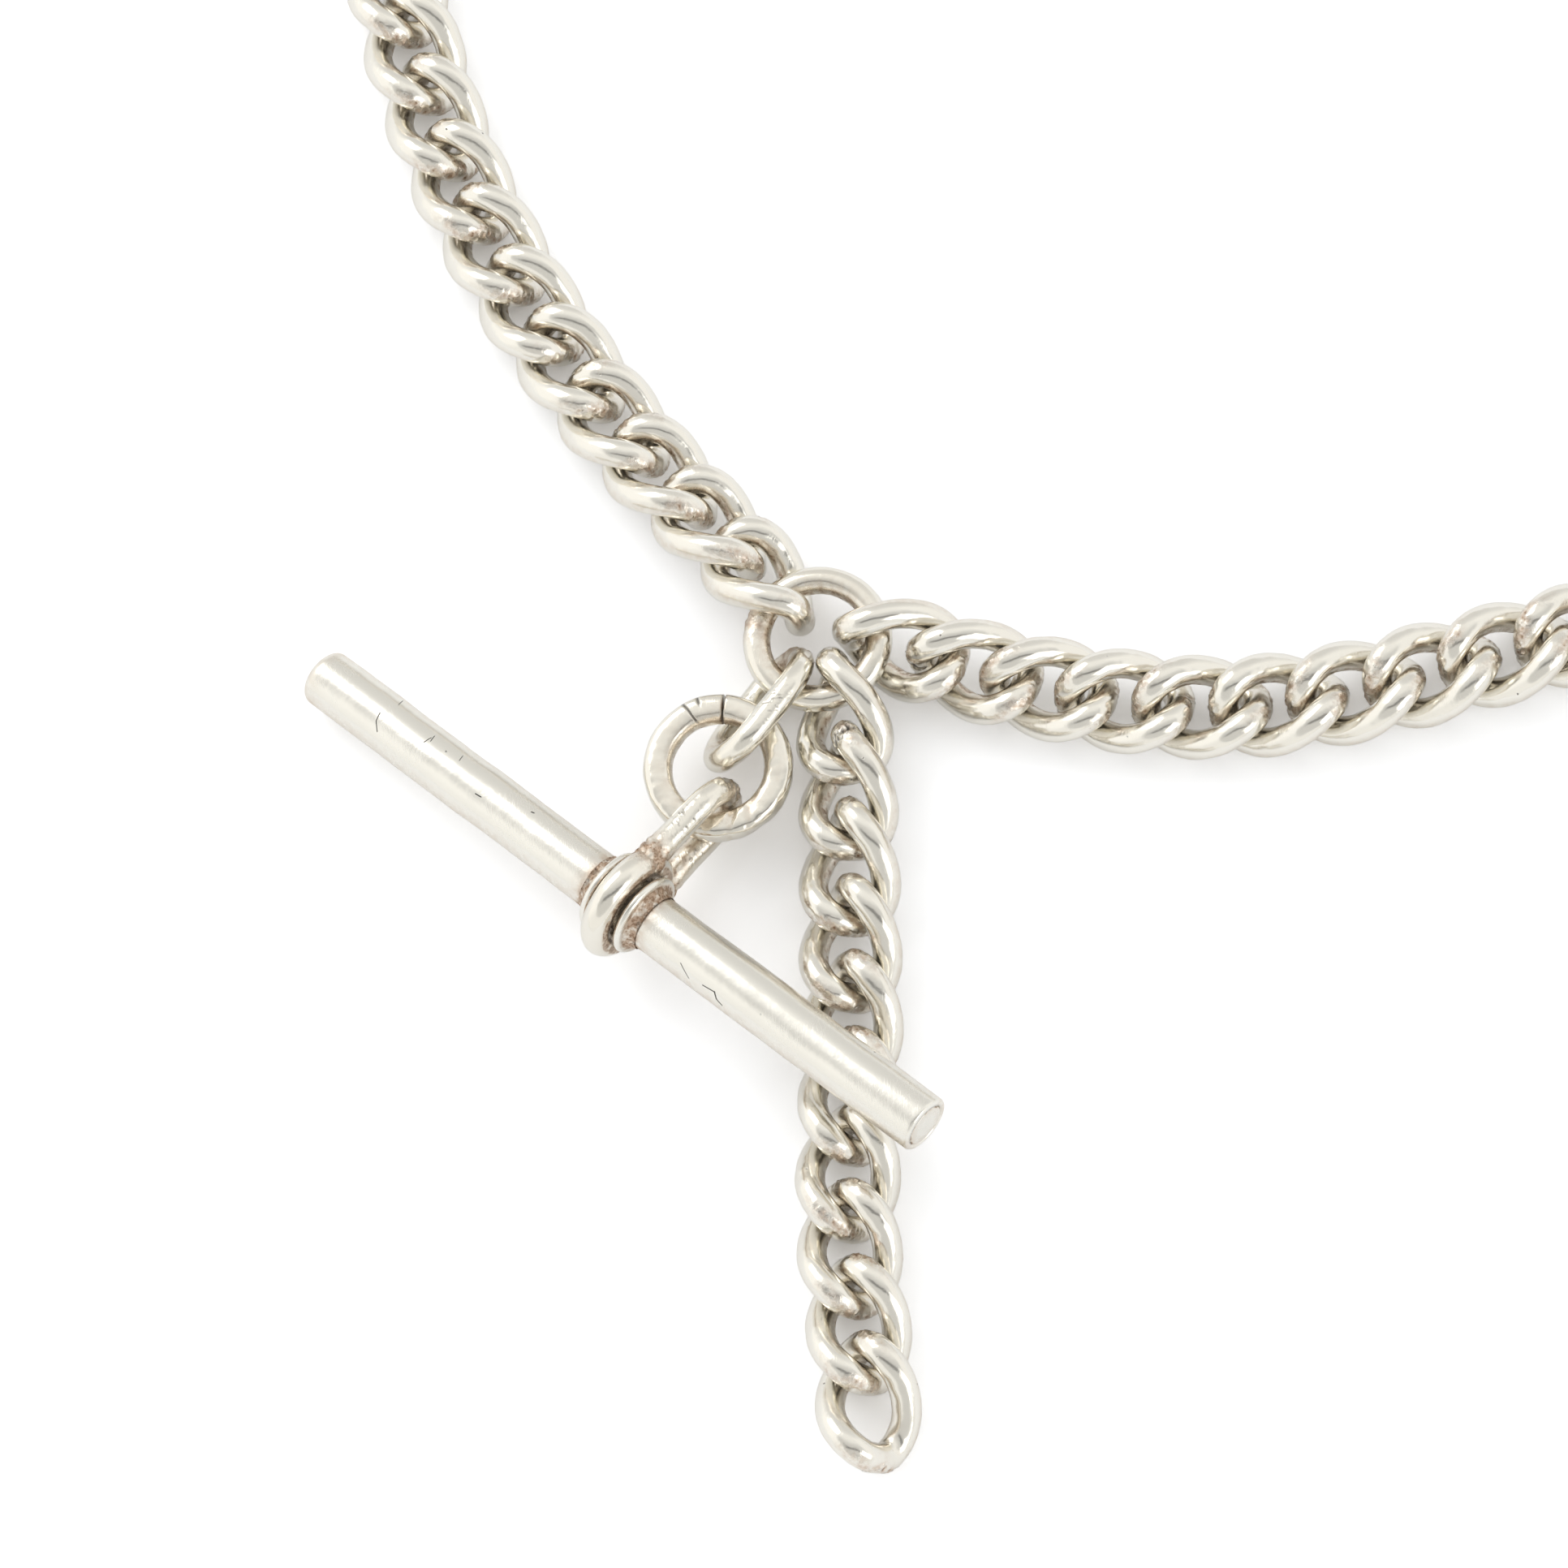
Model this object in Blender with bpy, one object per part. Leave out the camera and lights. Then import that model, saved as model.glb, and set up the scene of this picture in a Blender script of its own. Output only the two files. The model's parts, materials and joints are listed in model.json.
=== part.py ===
"""Pocket watch chain: a double Albert of curb links with a T-bar and two swivel clips.

Each piece is one object, in metres with +Z up. The chain lies on a table at Z = 0.
The origin is on the table under the centre ring, with the right arm towards +X,
the left arm towards +Y and the drop towards -Y.
"""
import math

import bmesh
import bpy
from mathutils import Matrix, Vector

MM = 1e-3

# Fits
WIRE_PLAY = 0.20 * MM  # between two linked wires
RUN_FIT = 0.08 * MM  # between a shaft and the hole that it turns in
SOLDER_GAP = 0.05 * MM  # between two soldered pieces
TABLE_PLAY = 0.07 * MM  # under the lowest piece

# Curb link
LINK_WIRE = 1.70 * MM
LINK_WIDTH_RATIO = 3.56
LINK_PITCH_RATIO = 2.60
LINK_TWIST = math.radians(116)
LINK_FULLNESS = 2.7
LINK_POINTS = 16
LEFT_LINKS = 14
RIGHT_LINKS = 14
DROP_LINKS = 10

# Links next to the centre ring, which stand on edge and then lie down
FIRST_ROLL = math.radians(38)
ROLL_SPAN = 5
FALL_SPAN = 4.5

# Links next to a clip, which rise to its height
RISE_SPAN = 2

# Centre ring, and where the runs hook on it
RING_WIRE = 1.58 * MM
RING_LIFT = 0.27 * MM
LEFT_HOOK = math.radians(130)
RIGHT_HOOK = math.radians(3)
DROP_HOOK = math.radians(-66)
OVAL_HOOK = math.radians(-135)

# Ways that the runs lie on the table, in millimetres from the ring's centre
LEFT_WAY = ((-5.0, 5.6), (-11.5, 12.6), (-17.1, 20.3), (-21.8, 28.8), (-24.8, 37.2),
            (-26.6, 44.6), (-27.4, 52.0), (-27.4, 75.0))
RIGHT_WAY = ((5.4, -0.7), (9.4, -2.0), (13.7, -3.2), (22.3, -4.3), (30.4, -3.5),
             (42.6, -0.4), (50.0, 1.0), (56.0, 1.6), (80.0, 1.6))
DROP_WAY = ((1.7, -6.1), (1.9, -10.4), (2.1, -19.5), (2.2, -27.1), (2.1, -34.6),
            (3.2, -42.5), (3.7, -46.6))
WAY_STEPS = 200

# Oval link
OVAL_WIRE = 1.58 * MM
OVAL_LENGTH = 9.0 * MM
OVAL_ROOM = 0.55 * MM  # beside the ring's wire
OVAL_SLACK = 1.5 * MM  # beyond the jump ring's wire
OVAL_LEAN = math.radians(28)
OVAL_HEADING = math.radians(-125)
OVAL_SLOPE = math.radians(7)
OVAL_DROP = 0.22 * MM

# Jump ring
JUMP_OD = 8.65 * MM
JUMP_WIRE = 1.65 * MM
JUMP_EDGE = 0.40 * MM
JUMP_SEAM = 0.12 * MM
JUMP_HEADING = math.radians(-123)
SEAM_ANGLE = math.radians(85)

# Bail loop and swivel ring
BAIL_WIRE = 1.58 * MM
BAIL_ROOM = 0.35 * MM  # beside the jump ring's wire
BAIL_REACH = 8.72 * MM
BAIL_SEAT = math.radians(-70)
BAIL_FALL = math.radians(10.4)
BAIL_DROP = 0.20 * MM
SWIVEL_WIRE = 1.70 * MM

# T-bar
BAR_OD = 3.45 * MM
BAR_LENGTH = 46.3 * MM
BAR_SPLIT = 0.515
BAR_HEADING = math.radians(-38.3)
TUBE_WALL = 0.40 * MM
BAR_ROUND = 0.25 * MM
PLUG_LENGTH = 3.0 * MM
COLLAR_OD = 5.0 * MM
COLLAR_THICK = 0.55 * MM
COLLAR_PLAY = 0.15 * MM

# Swivel clip: end ring and eye
CLIP_WIRE = 1.20 * MM
CLIP_ROOM = 0.8 * MM  # between the last link and the eye
CLIP_ROLL = math.radians(45)
EYE_WIRE = 1.20 * MM
EYE_ROOM = 0.80 * MM
SHANK_R = 0.75 * MM
RIVET_R = 1.25 * MM
RIVET_THICK = 0.6 * MM
RIVET_PLAY = 0.15 * MM

# Swivel clip: hook, gate, pin and spring
BARREL_R = 2.1 * MM
BARREL_LENGTH = 2.6 * MM
BARREL_EDGE = 0.35 * MM
HOOK_R = 1.15 * MM
HOOK_LENGTH = 18.4 * MM
HOOK_HALF_WIDTH = 4.5 * MM
# Way of the hook's arm from the barrel, in hook lengths and half widths, and its taper at each point
HOOK_WAY = ((0.07, 0.43), (0.17, 0.74), (0.32, 0.94), (0.52, 1.0), (0.72, 0.92), (0.87, 0.68),
            (0.97, 0.28), (0.985, -0.18), (0.93, -0.62), (0.85, -0.92), (0.78, -1.03), (0.70, -1.07))
HOOK_TAPERS = (0.80, 0.92, 1, 1, 1, 1, 1, 1, 0.95, 0.85, 0.75, 0.65)
HINGE_ALONG = 3.4 * MM  # from the back of the barrel
HINGE_BESIDE = 2.9 * MM  # from the barrel's axis
KNUCKLE_R = 0.85 * MM
TONGUE_THICK = 1.0 * MM
TONGUE_RISE = 0.25 * MM  # towards the barrel's axis
CHEEK_THICK = 0.6 * MM
PIN_R = 0.40 * MM
GATE_R = 0.75 * MM
GATE_END = 14.1 * MM
LEAF_THICK = 0.16 * MM
LEAF_WIDTH = 0.9 * MM
LEAF_REACH = 7.6 * MM

# Facets
RING_POINTS = 20
BEVEL_STEPS = 2
WELD = 1e-4 * MM
LATHE_STEPS = 18

# Sizes that follow from the ones above
LINK_WIDTH = LINK_WIDTH_RATIO * LINK_WIRE
LINK_PITCH = LINK_PITCH_RATIO * LINK_WIRE
LINK_SEAT = (LINK_WIRE + WIRE_PLAY) / 2
HINGE_AT = Vector((HINGE_ALONG, -HINGE_BESIDE, 0))
UP = Vector((0, 0, 1))


def clear_scene():
    for obj in list(bpy.data.objects):
        bpy.data.objects.remove(obj)


def silver(name, colour, roughness, metallic=1.0):
    material = bpy.data.materials.new(name)
    material.use_nodes = True
    shader = material.node_tree.nodes["Principled BSDF"]
    shader.inputs["Base Color"].default_value = (*colour, 1)
    shader.inputs["Roughness"].default_value = roughness
    shader.inputs["Metallic"].default_value = metallic
    return material


def turned(heading, slope=0.0):
    """The direction at this heading in plan and this slope above the table."""
    flat = math.cos(slope)
    return Vector((math.cos(heading) * flat, math.sin(heading) * flat, math.sin(slope)))


def frame(origin, along, roll=0.0):
    """Axes at origin: X along, Y level to its left, Z up, then rolled about X."""
    x = along.normalized()
    y = UP.cross(x).normalized()
    axes = Matrix((x, y, x.cross(y))).transposed().to_4x4()
    return Matrix.Translation(origin) @ axes @ Matrix.Rotation(roll, 4, "X")


def add(name, data, matrix, material):
    obj = bpy.data.objects.new(name, data)
    bpy.context.scene.collection.objects.link(obj)
    obj.matrix_world = matrix
    if not data.materials:
        data.materials.append(material)
    return obj


def wire(name, points, thickness, closed=True, tapers=None):
    """A curve through the points with a round section of this thickness."""
    curve = bpy.data.curves.new(name, "CURVE")
    curve.dimensions = "3D"
    curve.bevel_depth = thickness / 2
    curve.bevel_resolution = BEVEL_STEPS
    curve.use_fill_caps = not closed
    spline = curve.splines.new("POLY")
    spline.points.add(len(points) - 1)
    for index, point in enumerate(points):
        spline.points[index].co = (*point, 1)
        spline.points[index].radius = tapers[index] if tapers else 1.0
    spline.use_cyclic_u = closed
    return curve


def mesh_from(name, bm):
    bmesh.ops.remove_doubles(bm, verts=bm.verts, dist=WELD)
    bmesh.ops.recalc_face_normals(bm, faces=bm.faces)
    mesh = bpy.data.meshes.new(name)
    bm.to_mesh(mesh)
    bm.free()
    return mesh


def as_mesh(name, data):
    """The evaluated mesh of a curve, with its end caps welded on."""
    obj = bpy.data.objects.new(name, data)
    bpy.context.scene.collection.objects.link(obj)
    made = bpy.data.meshes.new_from_object(obj.evaluated_get(bpy.context.evaluated_depsgraph_get()))
    bpy.data.objects.remove(obj)
    bm = bmesh.new()
    bm.from_mesh(made)
    return mesh_from(name, bm)


def lathe(name, profile, steps=LATHE_STEPS, sweep=2 * math.pi, start=0.0, axis="X"):
    """Turns a closed profile of (along, radius) points about the axis."""
    full = math.isclose(sweep, 2 * math.pi)
    bm = bmesh.new()
    rows = []
    for step in range(steps if full else steps + 1):
        turn = start + sweep * step / steps
        c, s = math.cos(turn), math.sin(turn)
        if axis == "X":
            rows.append([bm.verts.new((a, r * c, r * s)) for a, r in profile])
        else:
            rows.append([bm.verts.new((r * c, r * s, a)) for a, r in profile])
    pairs = list(zip(rows, rows[1:]))
    if full:
        pairs.append((rows[-1], rows[0]))
    for one, two in pairs:
        for k in range(len(profile)):
            n = (k + 1) % len(profile)
            if profile[k][1] > 0 or profile[n][1] > 0:
                bm.faces.new((one[k], one[n], two[n], two[k]))
    if not full:
        bm.faces.new(rows[0])
        bm.faces.new(rows[-1])
    return mesh_from(name, bm)


def strap(name, one, two, radius, low, high):
    """A plate with two round ends, centred on one and two and standing from low to high."""
    bm = bmesh.new()
    for centre in (one, two):
        for step in range(LATHE_STEPS // 2):
            turn = 4 * math.pi * step / LATHE_STEPS
            reach = Vector((math.cos(turn), math.sin(turn), 0)) * radius
            for z in (low, high):
                bm.verts.new(centre + reach + UP * z)
    bmesh.ops.convex_hull(bm, input=bm.verts)
    return mesh_from(name, bm)


def carved(name, base, joins=(), cuts=()):
    """One mesh from the base with the joins added and the cuts taken away."""
    scene = bpy.context.scene.collection.objects
    body = bpy.data.objects.new(name, base)
    scene.link(body)
    helpers = []
    for operation, meshes in (("UNION", joins), ("DIFFERENCE", cuts)):
        for mesh in meshes:
            helper = bpy.data.objects.new(name + "_helper", mesh)
            scene.link(helper)
            helpers.append(helper)
            step = body.modifiers.new(operation.lower(), "BOOLEAN")
            step.operation = operation
            step.solver = "EXACT"
            step.object = helper
    graph = bpy.context.evaluated_depsgraph_get()
    made = bpy.data.meshes.new_from_object(body.evaluated_get(graph))
    for obj in (body, *helpers):
        bpy.data.objects.remove(obj)
    made.materials.clear()
    made.name = name
    return made


def ring_points(radius):
    """A circle in the XY plane."""
    steps = [2 * math.pi * k / RING_POINTS for k in range(RING_POINTS)]
    return [Vector((radius * math.cos(t), radius * math.sin(t), 0)) for t in steps]


def arc(centre, radius, first, last, steps):
    """Points in the XZ plane about the centre, from the first angle to the last."""
    turns = [first + (last - first) * k / steps for k in range(steps + 1)]
    return [centre + Vector((radius * math.cos(t), 0, radius * math.sin(t))) for t in turns]


def power(value, exponent):
    return math.copysign(abs(value) ** exponent, value)


def link_loop():
    """A full oval, wound about its own length. X runs from pivot to pivot."""
    half_length = LINK_PITCH / 2 + LINK_SEAT
    half_width = (LINK_WIDTH - LINK_WIRE) / 2
    points = []
    for k in range(LINK_POINTS):
        t = 2 * math.pi * k / LINK_POINTS
        x = half_length * power(math.cos(t), 2 / LINK_FULLNESS)
        y = half_width * power(math.sin(t), 2 / LINK_FULLNESS)
        twist = -LINK_TWIST / 2 * x / half_length
        points.append(Vector((x + LINK_PITCH / 2, y * math.cos(twist), y * math.sin(twist))))
    return points


def half_height(roll):
    """How far a link reaches above its own length when it is rolled."""
    reach = max(abs(p.y * math.sin(roll) + p.z * math.cos(roll)) for p in link_loop())
    return reach + LINK_WIRE / 2


# Heights and radii that follow from the link's shape
LINK_Z = half_height(0) + TABLE_PLAY
RING_Z = half_height(FIRST_ROLL) + RING_LIFT
HOOKS = sorted((LEFT_HOOK, RIGHT_HOOK, DROP_HOOK, OVAL_HOOK))
CLOSEST = min(b - a for a, b in zip(HOOKS, HOOKS[1:]))
END_R = (LINK_WIRE + WIRE_PLAY) / 2 / math.sin(CLOSEST / 2)
RING_R = END_R + (LINK_WIRE + RING_WIRE) / 2 + WIRE_PLAY
CLIP_R = (LINK_WIRE + EYE_WIRE + CLIP_WIRE + CLIP_ROOM) / 2 + WIRE_PLAY
CLIP_Z = max(CLIP_R * math.sin(CLIP_ROLL) + CLIP_WIRE / 2, BARREL_R) + TABLE_PLAY


def smooth(points):
    """A Catmull-Rom curve through the points."""
    ends = [2 * points[0] - points[1], *points, 2 * points[-1] - points[-2]]
    out = []
    for a, b, c, d in zip(ends, ends[1:], ends[2:], ends[3:]):
        for k in range(WAY_STEPS):
            t = k / WAY_STEPS
            out.append((2 * b + (c - a) * t + (2 * a - 5 * b + 4 * c - d) * t ** 2
                        + (3 * b - a - 3 * c + d) * t ** 3) / 2)
    return out + [points[-1]]


def pivots(hook, way, count, clipped):
    """Points one pitch apart along the way, from the ring outwards, with their heights."""
    start = turned(hook) * (END_R + LINK_SEAT)
    path = smooth([start] + [Vector((x, y, 0)) * MM for x, y in way])
    found = [start]
    for point in path:
        if len(found) <= count and (point - found[-1]).length >= LINK_PITCH:
            found.append(found[-1] + (point - found[-1]).normalized() * LINK_PITCH)
    while len(found) <= count:
        found.append(2 * found[-1] - found[-2])
    for index, point in enumerate(found):
        fall = max(0, 1 - index / FALL_SPAN)
        rise = max(0, 1 - (count - index) / RISE_SPAN) if clipped else 0
        point.z = LINK_Z + (RING_Z - LINK_Z) * fall + (CLIP_Z - LINK_Z) * rise
    return found


def meeting(start, along, centre, radius):
    """Where a way that starts outside a level circle first crosses it, seen from above."""
    flat = Vector((along.x, along.y, 0)).normalized()
    offset = Vector((start.x - centre.x, start.y - centre.y, 0))
    near = offset.dot(flat)
    reach = -near - math.sqrt(near ** 2 - offset.length_squared + radius ** 2)
    return centre + offset + flat * reach


def hang(name, at, *objects):
    """An empty at a joint, with the objects that turn there under it."""
    pivot = bpy.data.objects.new(name, None)
    bpy.context.scene.collection.objects.link(pivot)
    pivot.location = at
    bpy.context.view_layer.update()
    for obj in objects:
        obj.parent = pivot
        obj.matrix_parent_inverse = pivot.matrix_world.inverted()


def lay_run(name, hook, found, curve, material):
    """One link between each pivot and the next. The first turns on the ring's wire."""
    links = []
    for index, (here, there) in enumerate(zip(found, found[1:])):
        roll = FIRST_ROLL * max(0, 1 - index / ROLL_SPAN)
        place = frame(here, there - here, roll)
        links.append(add(f"{name}_link_{index + 1:02d}", curve, place, material))
    hang(name + "_pivot", turned(hook) * RING_R + UP * RING_Z, links[0])


def lay_bar(silvers):
    """The oval link, jump ring, swivel ring, bail and T-bar, each placed from the one before."""
    hook = turned(OVAL_HOOK)
    seat = hook * RING_R + UP * RING_Z
    oval_dir = turned(OVAL_HEADING, OVAL_SLOPE)
    oval_end = hook * END_R + UP * (RING_Z - OVAL_DROP)
    oval_half = (RING_WIRE / 2 + OVAL_WIRE / 2 + OVAL_ROOM) / math.cos(OVAL_LEAN)
    oval_frame = frame(seat, oval_dir, -OVAL_LEAN)
    near = oval_frame.inverted() @ oval_end + Vector((oval_half, 0, 0))
    far = near + Vector((OVAL_LENGTH - OVAL_WIRE - 2 * oval_half, 0, 0))
    quarter = math.pi / 2
    steps = RING_POINTS // 2
    loop = arc(near, oval_half, 3 * quarter, quarter, steps)
    loop += arc(far, oval_half, quarter, -quarter, steps)
    add("oval_link", wire("oval_link", loop, OVAL_WIRE), oval_frame, silvers["ring"])

    reach = OVAL_LENGTH - OVAL_WIRE - (OVAL_WIRE + JUMP_WIRE) / 2 - OVAL_SLACK
    jump_r = (JUMP_OD - JUMP_WIRE) / 2
    crossing = oval_end + oval_dir * reach
    jump_dir = turned(JUMP_HEADING)
    half, flat = JUMP_WIRE / 2, JUMP_WIRE / 2 - JUMP_EDGE
    profile = [(flat, jump_r + half), (half, jump_r + flat), (half, jump_r - flat),
               (flat, jump_r - half), (-flat, jump_r - half), (-half, jump_r - flat),
               (-half, jump_r + flat), (-flat, jump_r + half)]
    slit = JUMP_SEAM / jump_r
    jump = lathe("jump_ring", profile, RING_POINTS, 2 * math.pi - slit,
                 SEAM_ANGLE + slit / 2, "Z")
    centre = crossing + jump_dir * jump_r
    jump.transform(Matrix.Translation(centre - crossing))
    add("jump_ring", jump, Matrix.Translation(crossing), silvers["ring"])

    seat_r = jump_r - (JUMP_WIRE + BAIL_WIRE) / 2 - WIRE_PLAY
    bail_end = centre + turned(BAIL_SEAT) * seat_r - UP * BAIL_DROP
    bar_z = bail_end.z + math.sin(BAIL_FALL) * BAIL_REACH
    tilt = math.asin((bar_z - BAR_OD / 2 - TABLE_PLAY) / (BAR_SPLIT * BAR_LENGTH))
    bar_dir = turned(BAR_HEADING, tilt)
    level = UP.cross(bar_dir).normalized()
    bail_dir = level * math.cos(BAIL_FALL) - UP * math.sin(BAIL_FALL)
    bail_dir = (bail_dir - bar_dir * bail_dir.dot(bar_dir)).normalized()
    middle = bail_end - bail_dir * BAIL_REACH
    bar_frame = frame(middle, bar_dir)

    swivel_r = BAR_OD / 2 + RUN_FIT + SWIVEL_WIRE / 2
    across = Matrix.Rotation(quarter, 4, "Y")
    bail_half = JUMP_WIRE / 2 + BAIL_WIRE / 2 + BAIL_ROOM
    legs = Matrix((bail_dir, bar_dir, bail_dir.cross(bar_dir))).transposed().to_4x4()
    legs.translation = middle
    bend = Vector((BAIL_REACH - bail_half, 0, 0))
    root = Vector((swivel_r / 2, 0, 0))
    loop = [root - UP * bail_half, *arc(bend, bail_half, -quarter, quarter, steps)]
    loop.append(root + UP * bail_half)
    outside = swivel_r + SWIVEL_WIRE / 2 + SOLDER_GAP
    around = lathe("around", [(-BAR_OD, 0), (-BAR_OD, outside), (BAR_OD, outside), (BAR_OD, 0)],
                   2 * LATHE_STEPS)
    around.transform(Matrix.Rotation(quarter, 4, "Z"))
    bail = carved("bail_loop", as_mesh("bail", wire("bail", loop, BAIL_WIRE, False)), cuts=[around])
    ring = wire("swivel_ring", ring_points(swivel_r), SWIVEL_WIRE)
    swivel = add("swivel_ring", ring, bar_frame @ across, silvers["ring"])
    bail = add("bail_loop", bail, legs, silvers["ring"])
    hang("bail_pivot", meeting(middle, bail_dir, centre, jump_r), swivel, bail)

    bore = BAR_OD / 2 - TUBE_WALL
    left, right = -BAR_SPLIT * BAR_LENGTH, (1 - BAR_SPLIT) * BAR_LENGTH
    outer, lip = BAR_OD / 2, BAR_OD / 2 - BAR_ROUND
    tube = [(left, bore), (left, lip), (left + BAR_ROUND, outer),
            (right - BAR_ROUND, outer), (right, lip), (right, bore)]
    add("bar_tube", lathe("bar_tube", tube), bar_frame, silvers["bar"])
    plug_r = bore - SOLDER_GAP
    for name, low in (("bar_plug_left", left), ("bar_plug_right", right - PLUG_LENGTH)):
        ends = [(low, 0), (low, plug_r), (low + PLUG_LENGTH, plug_r), (low + PLUG_LENGTH, 0)]
        add(name, lathe(name, ends), bar_frame, silvers["bar"])
    inner, rim = BAR_OD / 2 + SOLDER_GAP, COLLAR_OD / 2
    half, edge = COLLAR_THICK / 2, COLLAR_THICK / 4
    washer = [(-half, inner), (-half, rim - edge), (-edge, rim), (edge, rim), (half, rim - edge),
              (half, inner)]
    collar = lathe("bar_collar", washer)
    offset = SWIVEL_WIRE / 2 + COLLAR_PLAY + half
    for name, x in (("bar_collar_left", -offset), ("bar_collar_right", offset)):
        add(name, collar, bar_frame @ Matrix.Translation((x, 0, 0)), silvers["bar"])


def cylinder(name, radius, low, high, axis="X"):
    return lathe(name, [(low, 0), (low, radius), (high, radius), (high, 0)], axis=axis)


def clip_meshes():
    """The clip's pieces: X runs along the shank from the back of the barrel."""
    made = {}
    eye_r = (CLIP_WIRE + EYE_WIRE) / 2 + EYE_ROOM
    eye = as_mesh("eye", wire("eye", ring_points(eye_r), EYE_WIRE))
    behind = Matrix.Translation((-eye_r - EYE_WIRE / 2, 0, 0))
    eye.transform(Matrix.Rotation(-CLIP_ROLL, 4, "X") @ behind)
    inside = BARREL_LENGTH + RIVET_PLAY
    head = inside + RIVET_THICK
    shank = [(-EYE_WIRE, 0), (-EYE_WIRE, SHANK_R), (inside, SHANK_R), (inside, RIVET_R),
             (head - RIVET_THICK / 2, RIVET_R), (head, SHANK_R), (head, 0)]
    made["eye"] = carved("clip_eye", lathe("shank", shank), joins=[eye])
    made["eye_r"] = eye_r

    edge = BARREL_EDGE
    bore = SHANK_R + RUN_FIT
    drum = [(RIVET_PLAY, bore), (RIVET_PLAY, BARREL_R - edge), (RIVET_PLAY + edge, BARREL_R),
            (BARREL_LENGTH - edge, BARREL_R), (BARREL_LENGTH, BARREL_R - edge),
            (BARREL_LENGTH, bore)]
    barrel = lathe("barrel", drum)
    way = [Vector((x * HOOK_LENGTH, y * HOOK_HALF_WIDTH, 0)) for x, y in HOOK_WAY]
    arm = as_mesh("arm", wire("arm", way, 2 * HOOK_R, False, HOOK_TAPERS))
    seat = Vector((BARREL_LENGTH / 2, HINGE_AT.y + TONGUE_RISE, 0))
    half = TONGUE_THICK / 2
    tongue = strap("tongue", seat, HINGE_AT, KNUCKLE_R, -half, half)
    pin_hole = cylinder("pin_hole", PIN_R + RUN_FIT, -BARREL_R, BARREL_R, "Z")
    pin_hole.transform(Matrix.Translation(HINGE_AT))
    made["hook"] = carved("clip_hook", barrel, joins=[arm, tongue], cuts=[pin_hole])

    stand = half + RUN_FIT + CHEEK_THICK
    root = Vector((2 * KNUCKLE_R + RUN_FIT, 0, 0))
    fork = strap("fork", Vector((0, 0, 0)), root, KNUCKLE_R, -stand, stand)
    span = Vector((KNUCKLE_R, 0, 0))
    slot = strap("slot", -span, Vector((0, 0, 0)), KNUCKLE_R + RUN_FIT, -half - RUN_FIT, half + RUN_FIT)
    rod = cylinder("rod", GATE_R, root.x, GATE_END - HINGE_AT.x)
    pivot_hole = cylinder("pivot_hole", PIN_R + RUN_FIT, -BARREL_R, BARREL_R, "Z")
    made["gate"] = carved("clip_gate", fork, joins=[rod], cuts=[slot, pivot_hole])
    made["pin"] = cylinder("clip_pin", PIN_R, -stand, stand, "Z")

    lift = HINGE_AT.y + GATE_R + SOLDER_GAP + LEAF_THICK / 2
    foot = Vector((BARREL_LENGTH + SOLDER_GAP, -RIVET_R - SOLDER_GAP - LEAF_THICK / 2, 0))
    leaf = [foot, foot + Vector((2 * LEAF_THICK, 0, 0)), Vector((LEAF_REACH, lift, 0))]
    made["spring"] = leaf_mesh(leaf)
    return made


def leaf_mesh(points):
    """A thin strip that follows the points, standing as wide as LEAF_WIDTH."""
    bm = bmesh.new()
    rows = []
    for index, point in enumerate(points):
        before, after = points[max(index - 1, 0)], points[min(index + 1, len(points) - 1)]
        side = UP.cross(after - before).normalized() * LEAF_THICK / 2
        high = UP * LEAF_WIDTH / 2
        corners = (side + high, high - side, -side - high, side - high)
        rows.append([bm.verts.new(point + corner) for corner in corners])
    for one, two in zip(rows, rows[1:]):
        for k in range(4):
            n = (k + 1) % 4
            bm.faces.new((one[k], one[n], two[n], two[k]))
    bm.faces.new(rows[0])
    bm.faces.new(rows[-1])
    return mesh_from("clip_spring", bm)


def lay_clip(name, found, made, silvers):
    """A clip in line with the last link of a run."""
    along = (found[-1] - found[-2]).normalized()
    along.z = 0
    along.normalize()
    ring_near = found[-1] + along * LINK_SEAT - along * ((LINK_WIRE + CLIP_WIRE) / 2 + WIRE_PLAY)
    ring = frame(found[-1], along, CLIP_ROLL)
    shift = (ring_near - found[-1]).dot(along) + CLIP_R
    loop = [p + Vector((shift, 0, 0)) for p in ring_points(CLIP_R)]
    add(name + "_end_ring", wire(name + "_end_ring", loop, CLIP_WIRE), ring, silvers["clip"])
    ring_far = ring_near + along * 2 * CLIP_R
    eye_near = ring_far - along * ((CLIP_WIRE + EYE_WIRE) / 2 + WIRE_PLAY)
    back = eye_near + along * (2 * made["eye_r"] + EYE_WIRE / 2)
    base = frame(back, along)
    add(name + "_eye", made["eye"], base, silvers["clip"])
    add(name + "_hook", made["hook"], base, silvers["clip"])
    hinge = base @ Matrix.Translation(HINGE_AT)
    add(name + "_gate", made["gate"], hinge, silvers["clip"])
    add(name + "_gate_pin", made["pin"], hinge, silvers["clip"])
    add(name + "_gate_spring", made["spring"], base, silvers["spring"])


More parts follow.
